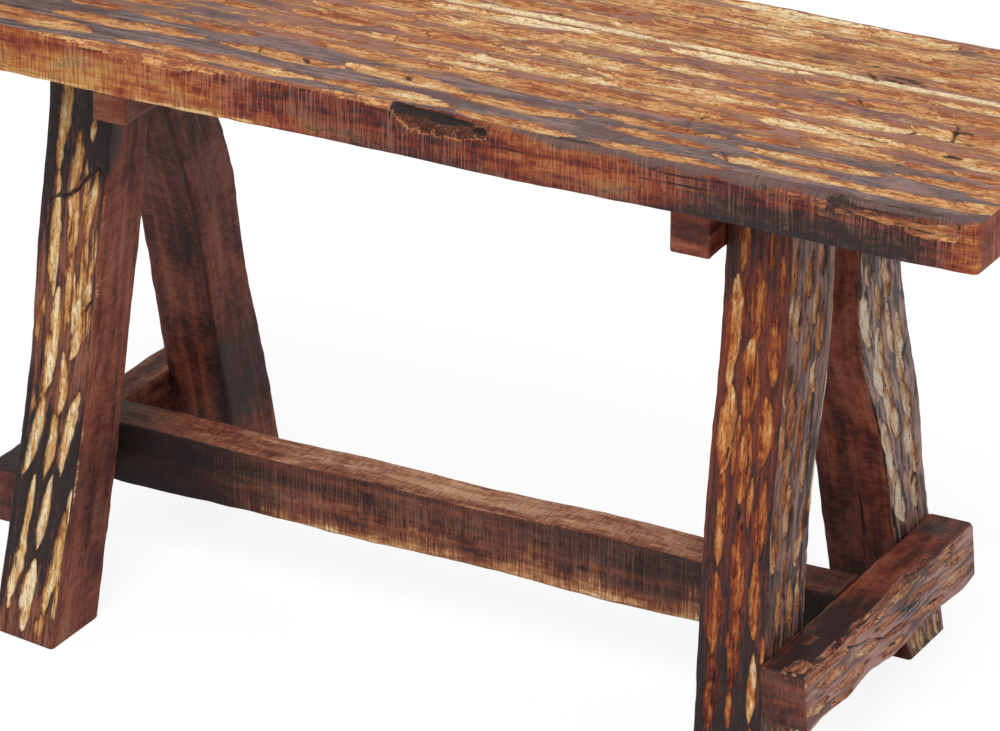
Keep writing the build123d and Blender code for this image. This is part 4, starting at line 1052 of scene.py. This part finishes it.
# the bolsters under the seat, with a counterbore under each washer of its lag screws
bolsters = {"bolsterRight": {"node": "bolster_right", "seed": 11.9, "sign": 1},
            "bolsterLeft": {"node": "bolster_left", "seed": 12.7, "sign": -1}}
boreRadius, rimWidth, step = 10.15, 1.3, 0.05  # mm; points near the rim move to just beside it
between = 40  # mm in y, from one washer of a bolster to the other
washers = np.array([v.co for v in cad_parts["lag_washers"].data.vertices]) / mm
for name, bolster in bolsters.items():
    bolster.update(axes=(1, 2, 0), slot="sawn_rail", cell=1.8, cells=(1.8, 3.0, 1.8, 1.8), arris=1.5,
                   samples=(0.06, 0.94))
    skin = readTimber(bolster)
    for side in sides:
        shade(skin, side, {0.0: [(-107, 0.46, 0.15), (-60, 0.4, 0.3, 0.1), (102, 0.4, 0.3, 0.1)]})
    roughen(skin, deep=0.4, cellA=4, cellS=8, seed=int(bolster["seed"] * 10))
    under = onFace(skin, "low")
    own = washers[bolster["sign"] * washers[:, 0] > 0]
    for ring in (own[own[:, 1] > between], own[own[:, 1] < between]):
        x, y, _ = (ring.min(0) + ring.max(0)) / 2
        away = np.maximum(np.hypot(skin["through"] - x, skin["s"] - y), 0.1)
        inside, rim = under & (away < boreRadius), under & (np.abs(away - boreRadius) < rimWidth)
        skin["sunk"] = np.where(inside, ring[:, 2].max() - skin["low"], skin["sunk"])
        grow = np.where(rim, (boreRadius + np.where(inside, -step, step)) / away, 1)
        skin["through"] = x + (skin["through"] - x) * grow
        skin["s"] = y + (skin["s"] - y) * grow
    raiseTimber(skin, name, [legSawn] * 4 + [slabEnd])


# fixings, out of sight: straw-coloured beech with fine streaks, 17 by 1.1 mm, and bright steel with a faint
# mottle of 2.5 mm
fixings = {
    "edge_dowels": {"finish": "beechTurned", "pale": "#D8B888", "dark": "#B8935E", "metallic": 0.0,
                    "roughness": 0.55, "perMetre": (60, 900, 900)},
    "frame_pegs": {"finish": "beechRiven", "pale": "#D4B080", "dark": "#B08A58", "metallic": 0.0,
                   "roughness": 0.55, "perMetre": (60, 900, 900)},
    "lag_screws": {"finish": "steelZincPlated", "pale": "#B9BCC0", "dark": "#A2A6AC", "metallic": 1.0,
                   "roughness": 0.34, "perMetre": (400, 400, 400)},
    "lag_washers": {"finish": "steelStamped", "pale": "#C2C5C8", "dark": "#AAAEB2", "metallic": 1.0,
                    "roughness": 0.3, "perMetre": (400, 400, 400)}}
for node, fixing in fixings.items():
    material = bpy.data.materials.new(fixing["finish"])
    tree = freshTree(material)
    spot = addNode(tree, "ShaderNodeTexCoord").outputs["Object"]
    streaks = addNode(tree, "ShaderNodeMapping", {"Vector": spot, "Scale": fixing["perMetre"]})
    noise = addNode(tree, "ShaderNodeTexNoise", {"Vector": streaks.outputs[0], "Scale": 1.0, "Detail": 3.0})
    tone = addNode(tree, "ShaderNodeValToRGB", {"Fac": noise.outputs[0]},
                   stops=[(0.3, fixing["dark"]), (0.7, fixing["pale"])])
    bump = addNode(tree, "ShaderNodeBump", {"Strength": 0.3, "Distance": 0.1 * mm,
                   "Height": noise.outputs[0]})
    surface = addNode(tree, "ShaderNodeBsdfPrincipled", {"Base Color": tone.outputs[0],
                      "Metallic": fixing["metallic"], "Roughness": fixing["roughness"],
                      "Normal": bump.outputs[0]})
    addNode(tree, "ShaderNodeOutputMaterial", {"Surface": surface.outputs[0]})
    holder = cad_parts[node]
    if not holder.material_slots:
        holder.data.materials.append(material)
    for place in holder.material_slots:
        place.material = material
print("fixings finished")


# studio: a pale floor that keeps the shadow, one soft key lamp, and an even white surround
studio = {"floorSize": 7.0, "floorSeen": 0.8, "floorGlow": 1.1, "sky": 0.55, "key": 1.6, "keyTurn": 20,
          "keyHeight": 52, "keySoft": 30}
bm = bmesh.new()
bmesh.ops.create_grid(bm, x_segments=2, y_segments=2, size=studio["floorSize"])
floorMesh = bpy.data.meshes.new("studioFloor")
bm.to_mesh(floorMesh)
bm.free()
floor = addObject("studioFloor", floorMesh)
# matt paper: an even white ground that shows nothing but the shadow
paper = bpy.data.materials.new("paperMatt")
tree = freshTree(paper)
path = addNode(tree, "ShaderNodeLightPath")
seen = addNode(tree, "ShaderNodeMath", {0: path.outputs["Is Camera Ray"], 1: studio["floorSeen"]},
               operation="MULTIPLY")
matt = addNode(tree, "ShaderNodeBsdfDiffuse", {"Color": paint("#EDEDED")})
glow = addNode(tree, "ShaderNodeEmission", {"Color": (1, 1, 1, 1), "Strength": studio["floorGlow"]})
mixed = addNode(tree, "ShaderNodeMixShader", {0: seen.outputs[0], 1: matt.outputs[0], 2: glow.outputs[0]})
addNode(tree, "ShaderNodeOutputMaterial", {"Surface": mixed.outputs[0]})
floorMesh.materials.append(paper)

world = bpy.data.worlds.new("studioSky")
bpy.context.scene.world = world
tree = freshTree(world)
path = addNode(tree, "ShaderNodeLightPath")
seen, through = path.outputs["Is Camera Ray"], path.outputs["Is Transmission Ray"]
direct = addNode(tree, "ShaderNodeMath", {0: seen, 1: through}, operation="MAXIMUM")
bright = addNode(tree, "ShaderNodeBackground", {"Color": (1, 1, 1, 1), "Strength": 1.0})
even = addNode(tree, "ShaderNodeBackground", {"Color": (1, 1, 1, 1), "Strength": studio["sky"]})
mixed = addNode(tree, "ShaderNodeMixShader", {0: direct.outputs[0], 1: even.outputs[0], 2: bright.outputs[0]})
addNode(tree, "ShaderNodeOutputWorld", {"Surface": mixed.outputs[0]})

lamp = bpy.data.lights.new("keyLamp", "SUN")
lamp.energy = studio["key"]
lamp.angle = radians(studio["keySoft"])
key = addObject("keyLamp", lamp)
key.rotation_euler = (radians(90 - studio["keyHeight"]), 0, radians(studio["keyTurn"]))

# camera: a long lens, 29 degrees round from the front and 24 degrees up
view = {"turn": 28.849, "height": 24.261, "place": (1.64706, -2.94144, 1.72325), "lens": 194.52}
lens = bpy.data.cameras.new("studioCamera")
lens.lens = view["lens"]
lens.sensor_width = 36
lens.clip_start, lens.clip_end = 0.1, 50
camera = addObject("studioCamera", lens)
camera.location = view["place"]
camera.rotation_euler = (radians(90 - view["height"]), 0, radians(view["turn"]))
bpy.context.scene.camera = camera
bpy.context.scene.view_settings.view_transform = "Standard"
